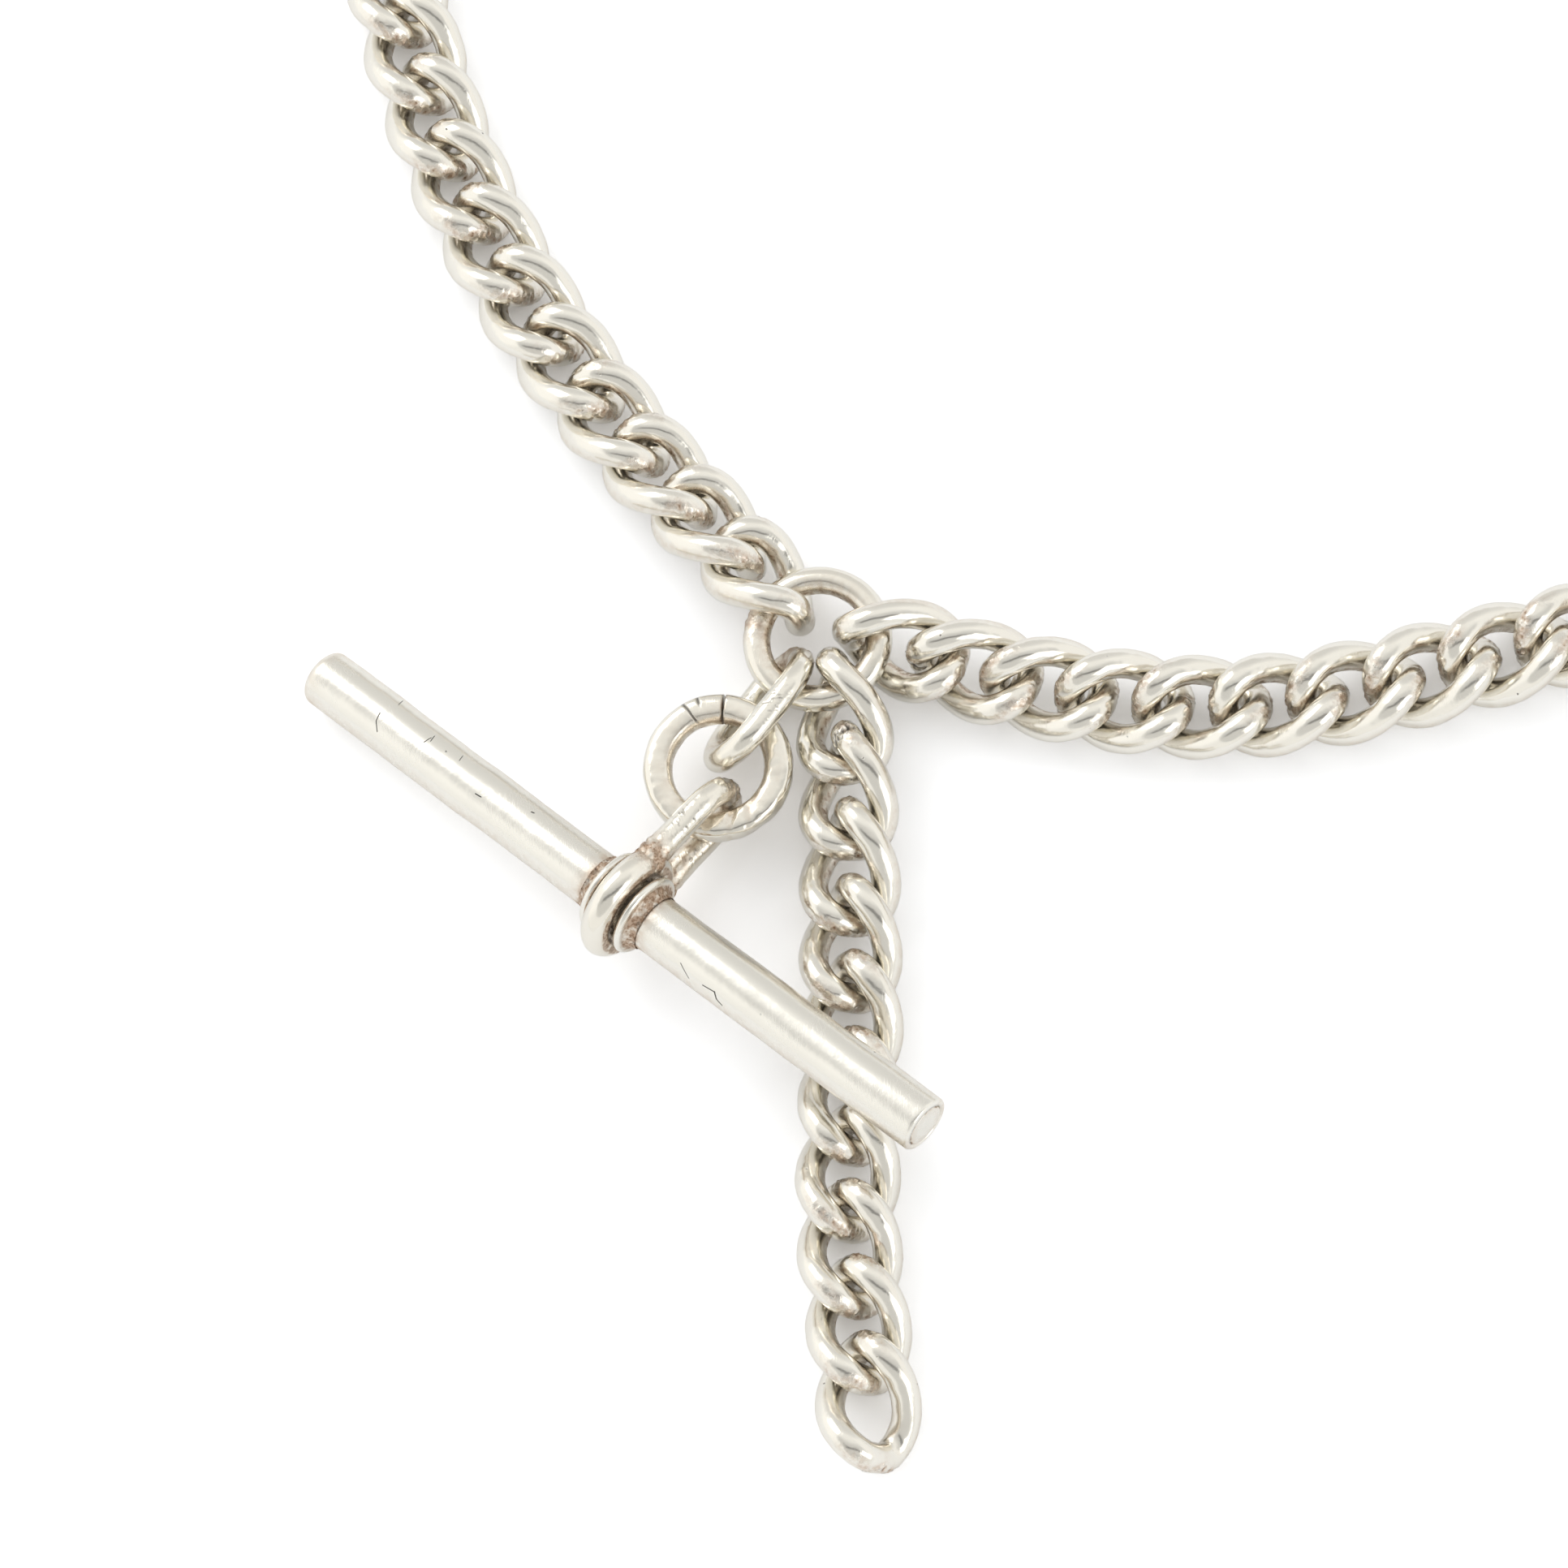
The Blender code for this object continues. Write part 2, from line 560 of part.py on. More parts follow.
def main():
    clear_scene()
    silvers = {
        "chain": silver("chain_silver", (0.78, 0.76, 0.71), 0.26),
        "ring": silver("ring_silver", (0.76, 0.74, 0.69), 0.28),
        "bar": silver("bar_silver", (0.80, 0.78, 0.73), 0.24),
        "clip": silver("clip_silver", (0.77, 0.75, 0.70), 0.27),
        "spring": silver("spring_steel", (0.56, 0.55, 0.53), 0.35),
    }
    ring = wire("centre_ring", ring_points(RING_R), RING_WIRE)
    add("centre_ring", ring, Matrix.Translation((0, 0, RING_Z)), silvers["ring"])
    link = wire("curb_link", link_loop(), LINK_WIRE)
    made = clip_meshes()
    for name, hook, way, count, clipped in (
            ("left", LEFT_HOOK, LEFT_WAY, LEFT_LINKS, True),
            ("right", RIGHT_HOOK, RIGHT_WAY, RIGHT_LINKS, True),
            ("drop", DROP_HOOK, DROP_WAY, DROP_LINKS, False)):
        found = pivots(hook, way, count, clipped)
        lay_run(name, hook, found, link, silvers["chain"])
        if clipped:
            lay_clip(name + "_clip", found, made, silvers)
    lay_bar(silvers)


main()
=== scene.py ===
"""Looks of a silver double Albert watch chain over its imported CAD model, in metres.

Every CAD solid is replaced by a smooth skin of the same size in the same place. Wires are
sections carried along loops, and turned parts are profiles carried round an axis.
"""
import json
import math

import bpy
import numpy as np
from mathutils import Matrix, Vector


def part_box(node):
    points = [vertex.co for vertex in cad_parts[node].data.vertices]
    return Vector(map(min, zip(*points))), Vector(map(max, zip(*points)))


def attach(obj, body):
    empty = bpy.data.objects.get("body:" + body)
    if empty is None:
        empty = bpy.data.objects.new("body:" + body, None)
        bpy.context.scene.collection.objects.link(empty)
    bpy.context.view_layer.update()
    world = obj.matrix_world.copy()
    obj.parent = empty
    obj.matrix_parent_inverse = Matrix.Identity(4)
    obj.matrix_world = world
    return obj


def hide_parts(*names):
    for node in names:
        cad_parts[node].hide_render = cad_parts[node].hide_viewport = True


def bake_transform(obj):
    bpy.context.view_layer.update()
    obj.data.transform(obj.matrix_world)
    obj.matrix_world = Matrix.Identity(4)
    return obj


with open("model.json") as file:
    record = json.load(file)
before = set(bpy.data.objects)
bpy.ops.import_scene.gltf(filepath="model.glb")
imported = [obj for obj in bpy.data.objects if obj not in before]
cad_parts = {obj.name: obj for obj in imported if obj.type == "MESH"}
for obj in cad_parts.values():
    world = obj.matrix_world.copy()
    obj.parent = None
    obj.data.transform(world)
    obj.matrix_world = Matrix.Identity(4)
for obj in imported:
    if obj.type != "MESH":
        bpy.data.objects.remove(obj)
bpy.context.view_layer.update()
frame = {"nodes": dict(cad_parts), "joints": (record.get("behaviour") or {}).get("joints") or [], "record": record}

JOINTS = {joint["child"]: joint for joint in frame["joints"]}
MM = 1e-3
TURN = 2 * math.pi
UP = np.array((0.0, 0.0, 1.0))
LEVEL = np.array((0.0, 1.0, 0.0))

# Sizes of the CAD model
LINK_WIRE = 1.70 * MM
LINK_PITCH = 4.42 * MM
LINK_HALF_LENGTH = 3.16 * MM  # to the middle of the wire
LINK_HALF_WIDTH = 2.15 * MM  # a little less than new, because the sides are worn in
LINK_TWIST = math.radians(116)
LINK_FULLNESS = 2.7
RING_WIRE = 1.58 * MM
OVAL_WIRE = 1.58 * MM
OVAL_R = 2.412 * MM  # of its ends, to the middle of the wire
OVAL_HALF_LENGTH = 3.71 * MM
JUMP_WIRE = 1.65 * MM
JUMP_SQUARENESS = 2.9
JUMP_SLIT = 0.12 * MM
JUMP_SEAM = math.radians(85)
BAIL_WIRE = 1.58 * MM
BAIL_HALF = 1.965 * MM
BAIL_REACH = 8.72 * MM
BAIL_FALL = math.radians(10.4)
SWIVEL_WIRE = 1.70 * MM
SWIVEL_R = 2.655 * MM
BAR_R = 1.725 * MM
BAR_LEFT = -23.8445 * MM
BAR_RIGHT = 22.4555 * MM
BORE_R = 1.325 * MM
PLUG_R = 1.275 * MM
PLUG_LENGTH = 3.0 * MM
COLLAR_R = 2.5 * MM
COLLAR_THICK = 0.55 * MM
COLLAR_AT = 1.275 * MM
CLIP_WIRE = 1.20 * MM
CLIP_R = 2.65 * MM
CLIP_ROLL = math.radians(45)
EYE_R = 2.0 * MM
SHANK_R = 0.75 * MM
RIVET_R = 1.25 * MM
BARREL_R = 2.1 * MM
BARREL_BORE = 0.83 * MM
BARREL_BACK = 0.15 * MM
BARREL_FRONT = 2.6 * MM
HEAD_BACK = 2.75 * MM
HEAD_FRONT = 3.35 * MM
HOOK_R = 1.15 * MM
HOOK_LENGTH = 18.4 * MM
HOOK_HALF_WIDTH = 4.5 * MM
HOOK_WAY = np.array((  # in shares of its length and of its half width
    (0.07, 0.43), (0.17, 0.74), (0.32, 0.94), (0.52, 1.0), (0.72, 0.92), (0.87, 0.68),
    (0.97, 0.28), (0.985, -0.18), (0.93, -0.62), (0.85, -0.92), (0.78, -1.03), (0.70, -1.07)))
HOOK_TAPERS = np.array((0.80, 0.92, 1, 1, 1, 1, 1, 1, 0.95, 0.85, 0.75, 0.65))  # shares of its radius
HINGE = np.array((3.4, -2.9, 0.0)) * MM
KNUCKLE_R = 0.85 * MM
TONGUE_HALF = 0.5 * MM
TONGUE_SEAT = np.array((1.3, -2.65, 0.0)) * MM
CHEEK_IN = 0.58 * MM
CHEEK_OUT = 1.18 * MM
FORK_ROOT = 1.78 * MM
PIN_R = 0.40 * MM
PIN_PLAY = 0.04 * MM
GATE_R = 0.75 * MM
GATE_LENGTH = 10.7 * MM
LEAF_WAY = np.array(((2.65, -1.38, 0), (2.97, -1.38, 0), (7.6, -2.02, 0))) * MM
LEAF_THICK = 0.16 * MM
LEAF_WIDTH = 0.9 * MM

# How the wire of a worn link spreads towards its neighbours
LINK_SPREAD = 0.015 * MM
SPREAD_SHARE = 0.42  # of the gap that is left beyond the play
SPREAD_PLAY = 0.12 * MM
SPREAD_REACH = 1.5 * MM  # no spread where the next link is further off than this

# Heights and depths of the marks of making and of wear
WAVES = 0.008 * MM
RING_WAVES = 0.006 * MM
JUMP_WAVES = 0.012 * MM
JUMP_DIMPLES = 0.004 * MM
BAR_BOWS = 0.020 * MM
BAR_DENTS = 0.008 * MM
BAR_WORN = 0.02 * MM
OVAL_WORN = 0.024 * MM
BEAD_HEIGHT = 0.085 * MM
RING_SEAM_HEIGHT = 0.06 * MM
OVAL_SEAM_HEIGHT = 0.08 * MM
BAIL_LUMP_HEIGHT = 0.15 * MM
FILLET_LUMP_HEIGHT = 0.03 * MM
OPEN_CUT_DEPTH = 0.10 * MM
STROKE_DEPTH = 0.05 * MM
KNOCK_DEPTH = 0.06 * MM

# Sizes of their lumps, and their places
BEAD_SIZE = 0.36 * MM
LUMP_SIZE = 0.55 * MM
SHARP_LUMP_SIZE = 0.34 * MM
FILLET_LUMP_SIZE = 0.4 * MM
KNOCK_SIZE = 1.0 * MM
PIT_SIZE = 0.22 * MM
FILED_BEADS = 0.3  # share of the beads that is left on the centre ring
FAR_BEADS = 0.75  # share of the beads on a link's far end
OPEN_LINKS = ("drop_link_02", "right_link_02")  # their solder has come apart in a fine cut
RING_SEAM = math.radians(165)
SWIVEL_SEAM = math.radians(40)
CLIP_SEAM = math.radians(100)
JUMP_KNOCKS = math.radians(-45)
BAIL_INSIDE = np.array((4.5, 0.0, 0.0)) * MM
BAIL_TIP = 6.0 * MM  # the tip's bend lies beyond this
BAIL_PITS = 5.2 * MM

# File strokes on the jump ring, in radians past its saw cut
SHORT_STROKE = 0.38
LONG_STROKE = 0.56
STROKE_WIDTH = 0.018

TURNED_CENTRE = 0.05 * MM  # a turned end face stops this near its axis, and a cap closes it
HALF_TURN = np.linspace(-TURN / 4, TURN / 4, 200)

# The photograph's camera: the table point in the middle of its frame, its distance and its lean
AIM = np.array((-2.185, -7.709, 0.0)) * MM
CAMERA_FAR = 0.5
CAMERA_LEAN = math.radians(17)
CAMERA_SIDE = math.radians(-65)
CAMERA_LENS = 200.36
TABLE_HALF = 3.0


def unit(vectors):
    """The same directions at length 1."""
    return vectors / np.linalg.norm(vectors, axis=-1, keepdims=True)


def eased(value, low, high):
    """0 up to low and 1 from high on, with an even S between."""
    t = np.clip((value - low) / (high - low), 0, 1)
    return t * t * (3 - 2 * t)


def bump(value, width):
    """A bell that is 1 where the value is 0 and falls off over the width."""
    return np.exp(-(value / width) ** 2)


def ripple(points, size, seed):
    """Soft lumps of about this size: the sum of sines along seeded directions, mostly from -1 to 1."""
    rng = np.random.default_rng(seed)
    waves = unit(rng.normal(size=(9, 3))) * TURN / (size * rng.uniform(0.7, 1.5, (9, 1)))
    return np.sin(points @ waves.T + rng.uniform(0, TURN, 9)).sum(-1) / 3


def wrapped(angle):
    """The same angle, from minus half a turn to half a turn."""
    return np.angle(np.exp(1j * angle))


def superellipse(angle, squareness):
    """Cosine and sine of an angle, pushed out towards a square: 2 is a circle, and more is squarer."""
    waves = np.stack((np.cos(angle), np.sin(angle)))
    return np.sign(waves) * np.abs(waves) ** (2 / squareness)


def arc(radius, angle):
    """Points at these angles on a level circle about the origin."""
    return radius * np.stack((np.cos(angle), np.sin(angle), 0 * angle), axis=1)


def inner_side(angle):
    """0 on the outward side of a wire's section and 1 on its inward side."""
    return (1 - np.cos(angle)) / 2


def lifted(grid, face, height):
    """The grid moved out of its own surface by the height at each point."""
    return grid + face * height[..., None]


def own_axes(node):
    """Middle and axes of a looped CAD node, from the spread of its points.

    The first axis is the longest and points away from the node's joint. The last is the
    shortest and points up.
    """
    mesh = frame["nodes"][node].data
    points = np.empty(len(mesh.vertices) * 3, np.float32)
    mesh.vertices.foreach_get("co", points)
    points = np.unique(np.round(points.reshape(-1, 3).astype(float), 6), axis=0)
    middle = points.mean(0)
    axes = np.linalg.eigh((points - middle).T @ (points - middle))[1]
    along, flat = axes[:, 2], axes[:, 0]
    bodies = frame["record"]["behaviour"]["bodies"]
    body = next(name for name, nodes in bodies.items() if node in nodes)
    if body in JOINTS and along @ (middle - np.array(JOINTS[body]["pos_m"])) < 0:
        along = -along
    if flat @ UP < 0:
        flat = -flat
    return middle, np.array((along, np.cross(flat, along), flat))


def joint_axes(child):
    """Place and axes at a joint that turns about its own length: X along, Y level, Z up."""
    along = unit(np.array(JOINTS[child]["axis"]))
    level = unit(np.cross(UP, along))
    return np.array(JOINTS[child]["pos_m"]), np.array((along, level, np.cross(along, level)))


def evenly(path, count, closed=True):
    """The same path with its points at even steps along it."""
    ends = np.concatenate((path, path[:1])) if closed else path
    run = np.concatenate(((0,), np.cumsum(np.linalg.norm(np.diff(ends, axis=0), axis=1))))
    at = np.linspace(0, run[-1], count, endpoint=not closed)
    return np.stack([np.interp(at, run, ends[:, k]) for k in range(3)], axis=1)


def flowing(points, count):
    """A Catmull-Rom curve through the points, at even steps. Any number of columns."""
    ends = np.concatenate((2 * points[:1] - points[1:2], points, 2 * points[-1:] - points[-2:-1]))
    place = np.linspace(0, len(points) - 1, count)
    k = np.minimum(place.astype(int), len(points) - 2)
    t = (place - k)[:, None]
    a, b, c, d = ends[k], ends[k + 1], ends[k + 2], ends[k + 3]
    square, cube = 2 * a - 5 * b + 4 * c - d, 3 * b - a - 3 * c + d
    return (2 * b + (c - a) * t + square * t ** 2 + cube * t ** 3) / 2


def domed(path, radius, reach):
    """The radius along an open path, falling to almost nothing as a quarter circle at its end."""
    left = np.linalg.norm(path - path[-1], axis=1)
    return radius * np.sqrt(np.clip(1 - (1 - left / reach).clip(0, 1) ** 2, 4e-4, 1))


def tube(path, outward, across, upright=None, closed=True, sides=28, squareness=2.0):
    """A section carried along a path, as a grid of points.

    At each path point the section reaches across towards the outward side and upright
    beside it, as a superellipse: squareness 2 is round, and more is squarer. Gives the
    grid, the direction out of the surface and the section's angle from the outward side.
    """
    ahead = np.roll(path, -1, 0) - np.roll(path, 1, 0) if closed else np.gradient(path, axis=0)
    ahead = unit(ahead)
    out = unit(outward - (outward * ahead).sum(-1, keepdims=True) * ahead)
    side = np.cross(ahead, out)
    v = np.linspace(0, TURN, sides, endpoint=False)
    c, s = superellipse(v, squareness)
    rows = np.ones(len(path))
    one = (across * rows)[:, None, None]
    two = ((across if upright is None else upright) * rows)[:, None, None]
    grid = path[:, None] + one * c[:, None] * out[:, None] + two * s[:, None] * side[:, None]
    face = np.cos(v)[:, None] * out[:, None] + np.sin(v)[:, None] * side[:, None]
    return grid, face, v


def turned(profile, place, axes, steps=96):
    """A profile of (along, radius) points carried round the first axis. An outer wall runs along +X."""
    v = np.linspace(0, TURN, steps, endpoint=False)
    face = np.cos(v)[:, None] * axes[1] + np.sin(v)[:, None] * axes[2]
    grid = place + profile[:, :1, None] * axes[0] + profile[:, 1:, None] * face
    return grid, face, v


def corner(middle, radius, first, last, steps=8):
    """A round corner of a profile, from the first angle to the last, in degrees from the +X way."""
    t = np.radians(np.linspace(first, last, steps))
    return np.stack((middle[0] + radius * np.cos(t), middle[1] + radius * np.sin(t)), axis=1)


def plate(one, two, radius, low, high, edge, place, axes, least=-1.0):
    """A flat plate with two round ends and softened edges, as a grid from its lower to its upper face.

    Its outline is the hull of two circles, cut off square at the least X.
    """
    way = unit(two - one)
    beside = np.cross(UP, way)
    half = np.linspace(-TURN / 4, TURN / 4, 24)[:, None]
    round_two = np.cos(half) * way + np.sin(half) * beside
    outline = evenly(np.concatenate((two + radius * round_two, one - radius * round_two)), 64)
    outline[:, 0] = np.maximum(outline[:, 0], least)
    inward = 1 - edge / radius * np.array((1, 0, 0, 1))[:, None, None]
    heights = np.array((low, low + edge, high - edge, high))[:, None, None] * UP
    middle = outline.mean(0)
    local = middle + (outline - middle) * inward + heights
    return place + local @ axes


class Skin:
    """Grids gathered into one mesh, with numbers for the shader at every point."""

    MARKS = ("tarnish", "solder", "cut", "along", "around")

    def __init__(self):
        self.points = []
        self.faces = []
        self.marks = {mark: [] for mark in self.MARKS}
        self.count = 0

    def add(self, grid, closed=True, **marks):
        """Joins a grid that closes on itself across its columns. Its rows close too, or end in caps."""
        rows, columns = grid.shape[:2]
        i = np.arange(rows if closed else rows - 1)[:, None]
        j = np.arange(columns)
        here, there = i * columns, (i + 1) % rows * columns
        after = (j + 1) % columns
        quads = np.stack((here + j, here + after, there + after, there + j), axis=-1)
        self.faces += (quads.reshape(-1, 4) + self.count).tolist()
        self.points.append(grid.reshape(-1, 3))
        for mark in self.MARKS:
            value = np.broadcast_to(marks.get(mark, 0.0), (rows, columns))
            self.marks[mark].append(value.ravel())
            if not closed:
                self.marks[mark].append(value[[0, -1]].mean(1))
        total = rows * columns
        if not closed:
            self.points.append(grid[[0, -1]].mean(1))
            first = np.stack((np.full(columns, total), after, j), axis=1)
            last = np.stack((np.full(columns, total + 1), j, after), axis=1)
            last[:, 1:] += total - columns
            self.faces += (np.concatenate((first, last)) + self.count).tolist()
            total += 2
        self.count += total

    def piece(self, name, body, metal, slot, *nodes, bent=None):
        """Makes the mesh an object that rides on the body and stands for the CAD nodes.

        A springy piece keeps its place baked into its points and rides on no body.
        """
        mesh = bpy.data.meshes.new(name)
        mesh.from_pydata(np.concatenate(self.points), [], self.faces)
        mesh.polygons.foreach_set("use_smooth", np.ones(len(mesh.polygons), bool))
        for mark, values in self.marks.items():
            layer = mesh.attributes.new(mark, "FLOAT", "POINT")
            layer.data.foreach_set("value", np.concatenate(values).astype(np.float32))
        mesh.materials.append(metal)
        obj = bpy.data.objects.new(name, mesh)
        bpy.context.scene.collection.objects.link(obj)
        if bent:
            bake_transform(obj)
        else:
            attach(obj, body)
        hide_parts(*nodes)


class Term:
    """A socket of a node tree. Arithmetic on terms adds Math nodes."""

    def __init__(self, nodes, socket):
        self.nodes = nodes
        self.socket = socket

    def math(self, operation, one, two):
        return self.nodes.make("Math", {"operation": operation}, {0: one, 1: two})

    def __add__(self, other):
        return self.math("ADD", self, other)

    def __radd__(self, other):
        return self.math("ADD", other, self)

    def __sub__(self, other):
        return self.math("SUBTRACT", self, other)

    def __rsub__(self, other):
        return self.math("SUBTRACT", other, self)

    def __mul__(self, other):
        return self.math("MULTIPLY", self, other)

    def __rmul__(self, other):
        return self.math("MULTIPLY", other, self)

    def __abs__(self):
        return self.math("ABSOLUTE", self, 0.0)

    def least(self, other):
        return self.math("MINIMUM", self, other)

    def most(self, other):
        return self.math("MAXIMUM", self, other)

    def eased(self, low, high):
        """0 up to low and 1 from high on, with an even S between."""
        settings = {"interpolation_type": "SMOOTHSTEP"}
        return self.nodes.make("MapRange", settings, {"Value": self, "From Min": low, "From Max": high})


class Nodes:
    """A node tree that is written as Python expressions."""

    def __init__(self, tree):
        self.tree = tree
        tree.nodes.clear()

    def make(self, kind, settings=None, sockets=None, output=0):
        """Adds one node: its settings first, then the values or links of its sockets."""
        node = self.tree.nodes.new("ShaderNode" + kind)
        for key, value in (settings or {}).items():
            setattr(node, key, value)
        for key, value in (sockets or {}).items():
            if isinstance(value, Term):
                self.tree.links.new(value.socket, node.inputs[key])
            else:
                node.inputs[key].default_value = value
        return Term(self, node.outputs[output]) if node.outputs else None

    def mark(self, name):
        return self.make("Attribute", {"attribute_name": name}, output="Fac")

    def noise(self, place, scale, detail=2.0):
        return self.make("TexNoise", {}, {"Vector": place, "Scale": scale, "Detail": detail}, "Fac")

    def stroke(self, x, y, x0, y0, x1, y1, width):
        """1 on the straight line between two points and 0 beyond the width from it."""
        run, rise = x1 - x0, y1 - y0
        share = ((x - x0) * run + (y - y0) * rise) * (1 / (run ** 2 + rise ** 2))
        share = share.most(0.0).least(1.0)
        off, beside = x - x0 - share * run, y - y0 - share * rise
        return 1.0 - (off * off + beside * beside).eased((width / 3) ** 2, width ** 2)

    def mixed(self, share, one, two):
        """A colour between one and two."""
        return self.make("Mix", {"data_type": "RGBA"}, {0: share, 6: one, 7: two}, 2)


# Colours of old silver: the film on it, the dirt in it, the black of a pit, and bare solder. The film and the dirt
# also paint shade on the sides of the links and the bar
FILM_AND_SHADE = (0.67, 0.55, 0.43, 1)
DIRT_AND_SHADE = (0.27, 0.165, 0.10, 1)
SOOT = (0.03, 0.024, 0.02, 1)
COPPER = (0.56, 0.37, 0.26, 1)

# How fine its texture is, in cells to a metre
HAZE_SCALE = 260
DIMPLE_SCALE = 900
PIT_SCALE = 950
MOTTLE_SCALE = 2100
GRAIN_SCALE = 6000

# Scratches on the bar: both ends and the width, in millimetres along the bar and round it from its top
BAR_STROKES = (
    (-18.6, -0.05, -18.5, 0.45, 0.035), (-18.5, 0.45, -18.1, 0.95, 0.035),
    (-15.3, -0.2, -15.2, -0.7, 0.03), (-15.05, -0.5, -15.15, -0.95, 0.03),
    (-18.2, -1.2, -18.35, -1.8, 0.025), (-12.9, -0.6, -13.0, -1.0, 0.025),
    (-10.8, 0.4, -10.4, 0.36, 0.04), (-7.45, -0.75, -7.3, -0.8, 0.05),
    (7.2, 1.5, 8.05, 1.38, 0.04), (8.05, 1.38, 8.3, 1.75, 0.06),
    (8.3, 1.75, 8.75, 1.9, 0.05), (5.4, 1.2, 6.2, 1.75, 0.03))


def silver(name, tone, polish, grit, strokes=()):
    """Old hand-worn silver: warm and bright, beige to brown in its crevices and rough at its solder.

    Soft waves, pits and hair scratches come from noise in the piece's own place. The
    marks on the mesh say where there is tarnish, painted shade, solder or a cut.
    """
    material = bpy.data.materials.new(name)
    material.use_nodes = True
    nodes = Nodes(material.node_tree)
    place = nodes.make("TexCoord", output="Object")
    tarnish, solder, cut = nodes.mark("tarnish"), nodes.mark("solder"), nodes.mark("cut")

    haze = nodes.noise(place, HAZE_SCALE)
    dimple = nodes.noise(place, DIMPLE_SCALE)
    mottle = nodes.noise(place, MOTTLE_SCALE, 4.0)
    grain = nodes.noise(place, GRAIN_SCALE, 3.0)
    # Painted shade: besides tarnish, the mark holds shade painted on the sides of the links and the bar, and the
    # film and the dirt from it paint both
    film_and_shade = (tarnish * (0.35 + 1.3 * mottle.eased(0.3, 0.7))).least(1.0)
    dirt_and_shade = film_and_shade.eased(0.5, 1.0) * (0.25 + 0.75 * grain.eased(0.42, 0.62))
    crust = solder * grain.eased(0.45, 0.62)

    cells = {"Vector": place, "Scale": PIT_SCALE}
    spots = nodes.make("TexVoronoi", {}, cells, "Distance")
    chance = nodes.make("TexVoronoi", {}, cells, "Color")
    chance = nodes.make("SeparateColor", {}, {"Color": chance}, 0)
    pits = (1.0 - spots.eased(0.03, 0.08)) * chance.eased(0.82, 0.84)

    def scratches(rotation, scale, width):
        """Thin lines along one way, where a drawn-out noise passes through its middle."""
        drawn = nodes.make("Mapping", {}, {"Vector": place, "Rotation": rotation, "Scale": scale})
        return 1.0 - abs(nodes.noise(drawn, 1.0, 1.0) - 0.5).eased(0.0, width)

    hair = scratches((0.5, 0.3, 0.7), (2600, 240, 2600), 0.025)
    hair = hair.most(scratches((0.2, 0.6, -0.8), (3000, 300, 3000), 0.02))
    hair = hair * haze.eased(0.45, 0.6)

    along, around = nodes.mark("along"), nodes.mark("around")
    for stroke in strokes:
        cut = cut.most(nodes.stroke(along, around, *stroke))

    colour = nodes.mixed(film_and_shade * 0.9, (*tone, 1), FILM_AND_SHADE)
    colour = nodes.mixed(solder * 0.45 * mottle.eased(0.3, 0.65), colour, COPPER)
    colour = nodes.mixed((crust * 0.25).most(dirt_and_shade * 0.8), colour, DIRT_AND_SHADE)
    colour = nodes.mixed((pits * 0.7).most(cut), colour, SOOT)
    rough = polish + 0.06 * haze + 0.05 * hair + 0.22 * film_and_shade + 0.10 * solder
    relief = (0.040 * haze + 0.020 * dimple + 0.007 * mottle + grit * grain + 0.012 * crust
              - 0.03 * pits - 0.0015 * hair - 0.05 * cut)
    relief = nodes.make("Bump", {}, {"Height": relief, "Distance": MM, "Strength": 1.0})
    shader = nodes.make("BsdfPrincipled", {}, {
        "Base Color": colour, "Roughness": rough.least(0.8), "Metallic": 1.0 - 0.75 * cut,
        "Normal": relief})
    nodes.make("OutputMaterial", {}, {"Surface": shader})
    return material


CHAIN_SILVER = silver("worn_chain_silver", (0.89, 0.86, 0.785), 0.14, 0.0012)
RING_SILVER = silver("worn_ring_silver", (0.89, 0.855, 0.77), 0.14, 0.0026)
BAR_SILVER = silver("rubbed_bar_silver", (0.90, 0.875, 0.805), 0.21, 0.0042, BAR_STROKES)
CLIP_SILVER = silver("worn_clip_silver", (0.88, 0.85, 0.775), 0.14, 0.0014)
SPRING_STEEL = silver("spring_steel", (0.56, 0.55, 0.53), 0.30, 0.0014)


def curb_loop(count):
    """The middle of a curb link's wire: a full oval wound about its own length."""
    c, s = superellipse(np.linspace(0, TURN, count, endpoint=False), LINK_FULLNESS)
    x, y = LINK_HALF_LENGTH * c, LINK_HALF_WIDTH * s
    wind = -LINK_TWIST / 2 * x / LINK_HALF_LENGTH
    return np.stack((x, y * np.cos(wind), y * np.sin(wind)), axis=1)


def solder_seam(grid, away, outer, seed, height, width):
    """Lumps left by the solder, round the place where away is 0, on the outer side only."""
    patch = bump(away, width)[:, None] * outer
    soft, sharp = ripple(grid, LUMP_SIZE, seed), np.abs(ripple(grid, SHARP_LUMP_SIZE, seed + 1))
    return patch, height * patch * np.clip(0.25 + 0.8 * soft - 0.7 * sharp, -0.8, 1.0)


def link_skin():
    """A curb link's surface before wear: a wire along the loop, spread into the gaps beside it.

    Each point moves out along its own direction by a share of the distance to the same
    loop one pitch before and after, never by more than the spread, and not on free sides.
    """
    loop = evenly(curb_loop(720), 210)
    grid, face, v = tube(loop, loop, LINK_WIRE / 2, sides=40)
    step = np.array((LINK_PITCH, 0, 0))
    beside = np.concatenate((loop[::2] - step, loop[::2] + step))
    away = np.sqrt(((grid[:, :, None] - beside) ** 2).sum(-1)).min(-1) - LINK_WIRE / 2
    spread = np.clip(SPREAD_SHARE * (away - SPREAD_PLAY), 0, LINK_SPREAD)
    spread = spread * (1 - eased(away, SPREAD_REACH / 2, SPREAD_REACH))
    return loop, grid + face * spread[..., None], face, v, away


LOOP, WIRE, FACE, ROUND, BESIDE = link_skin()


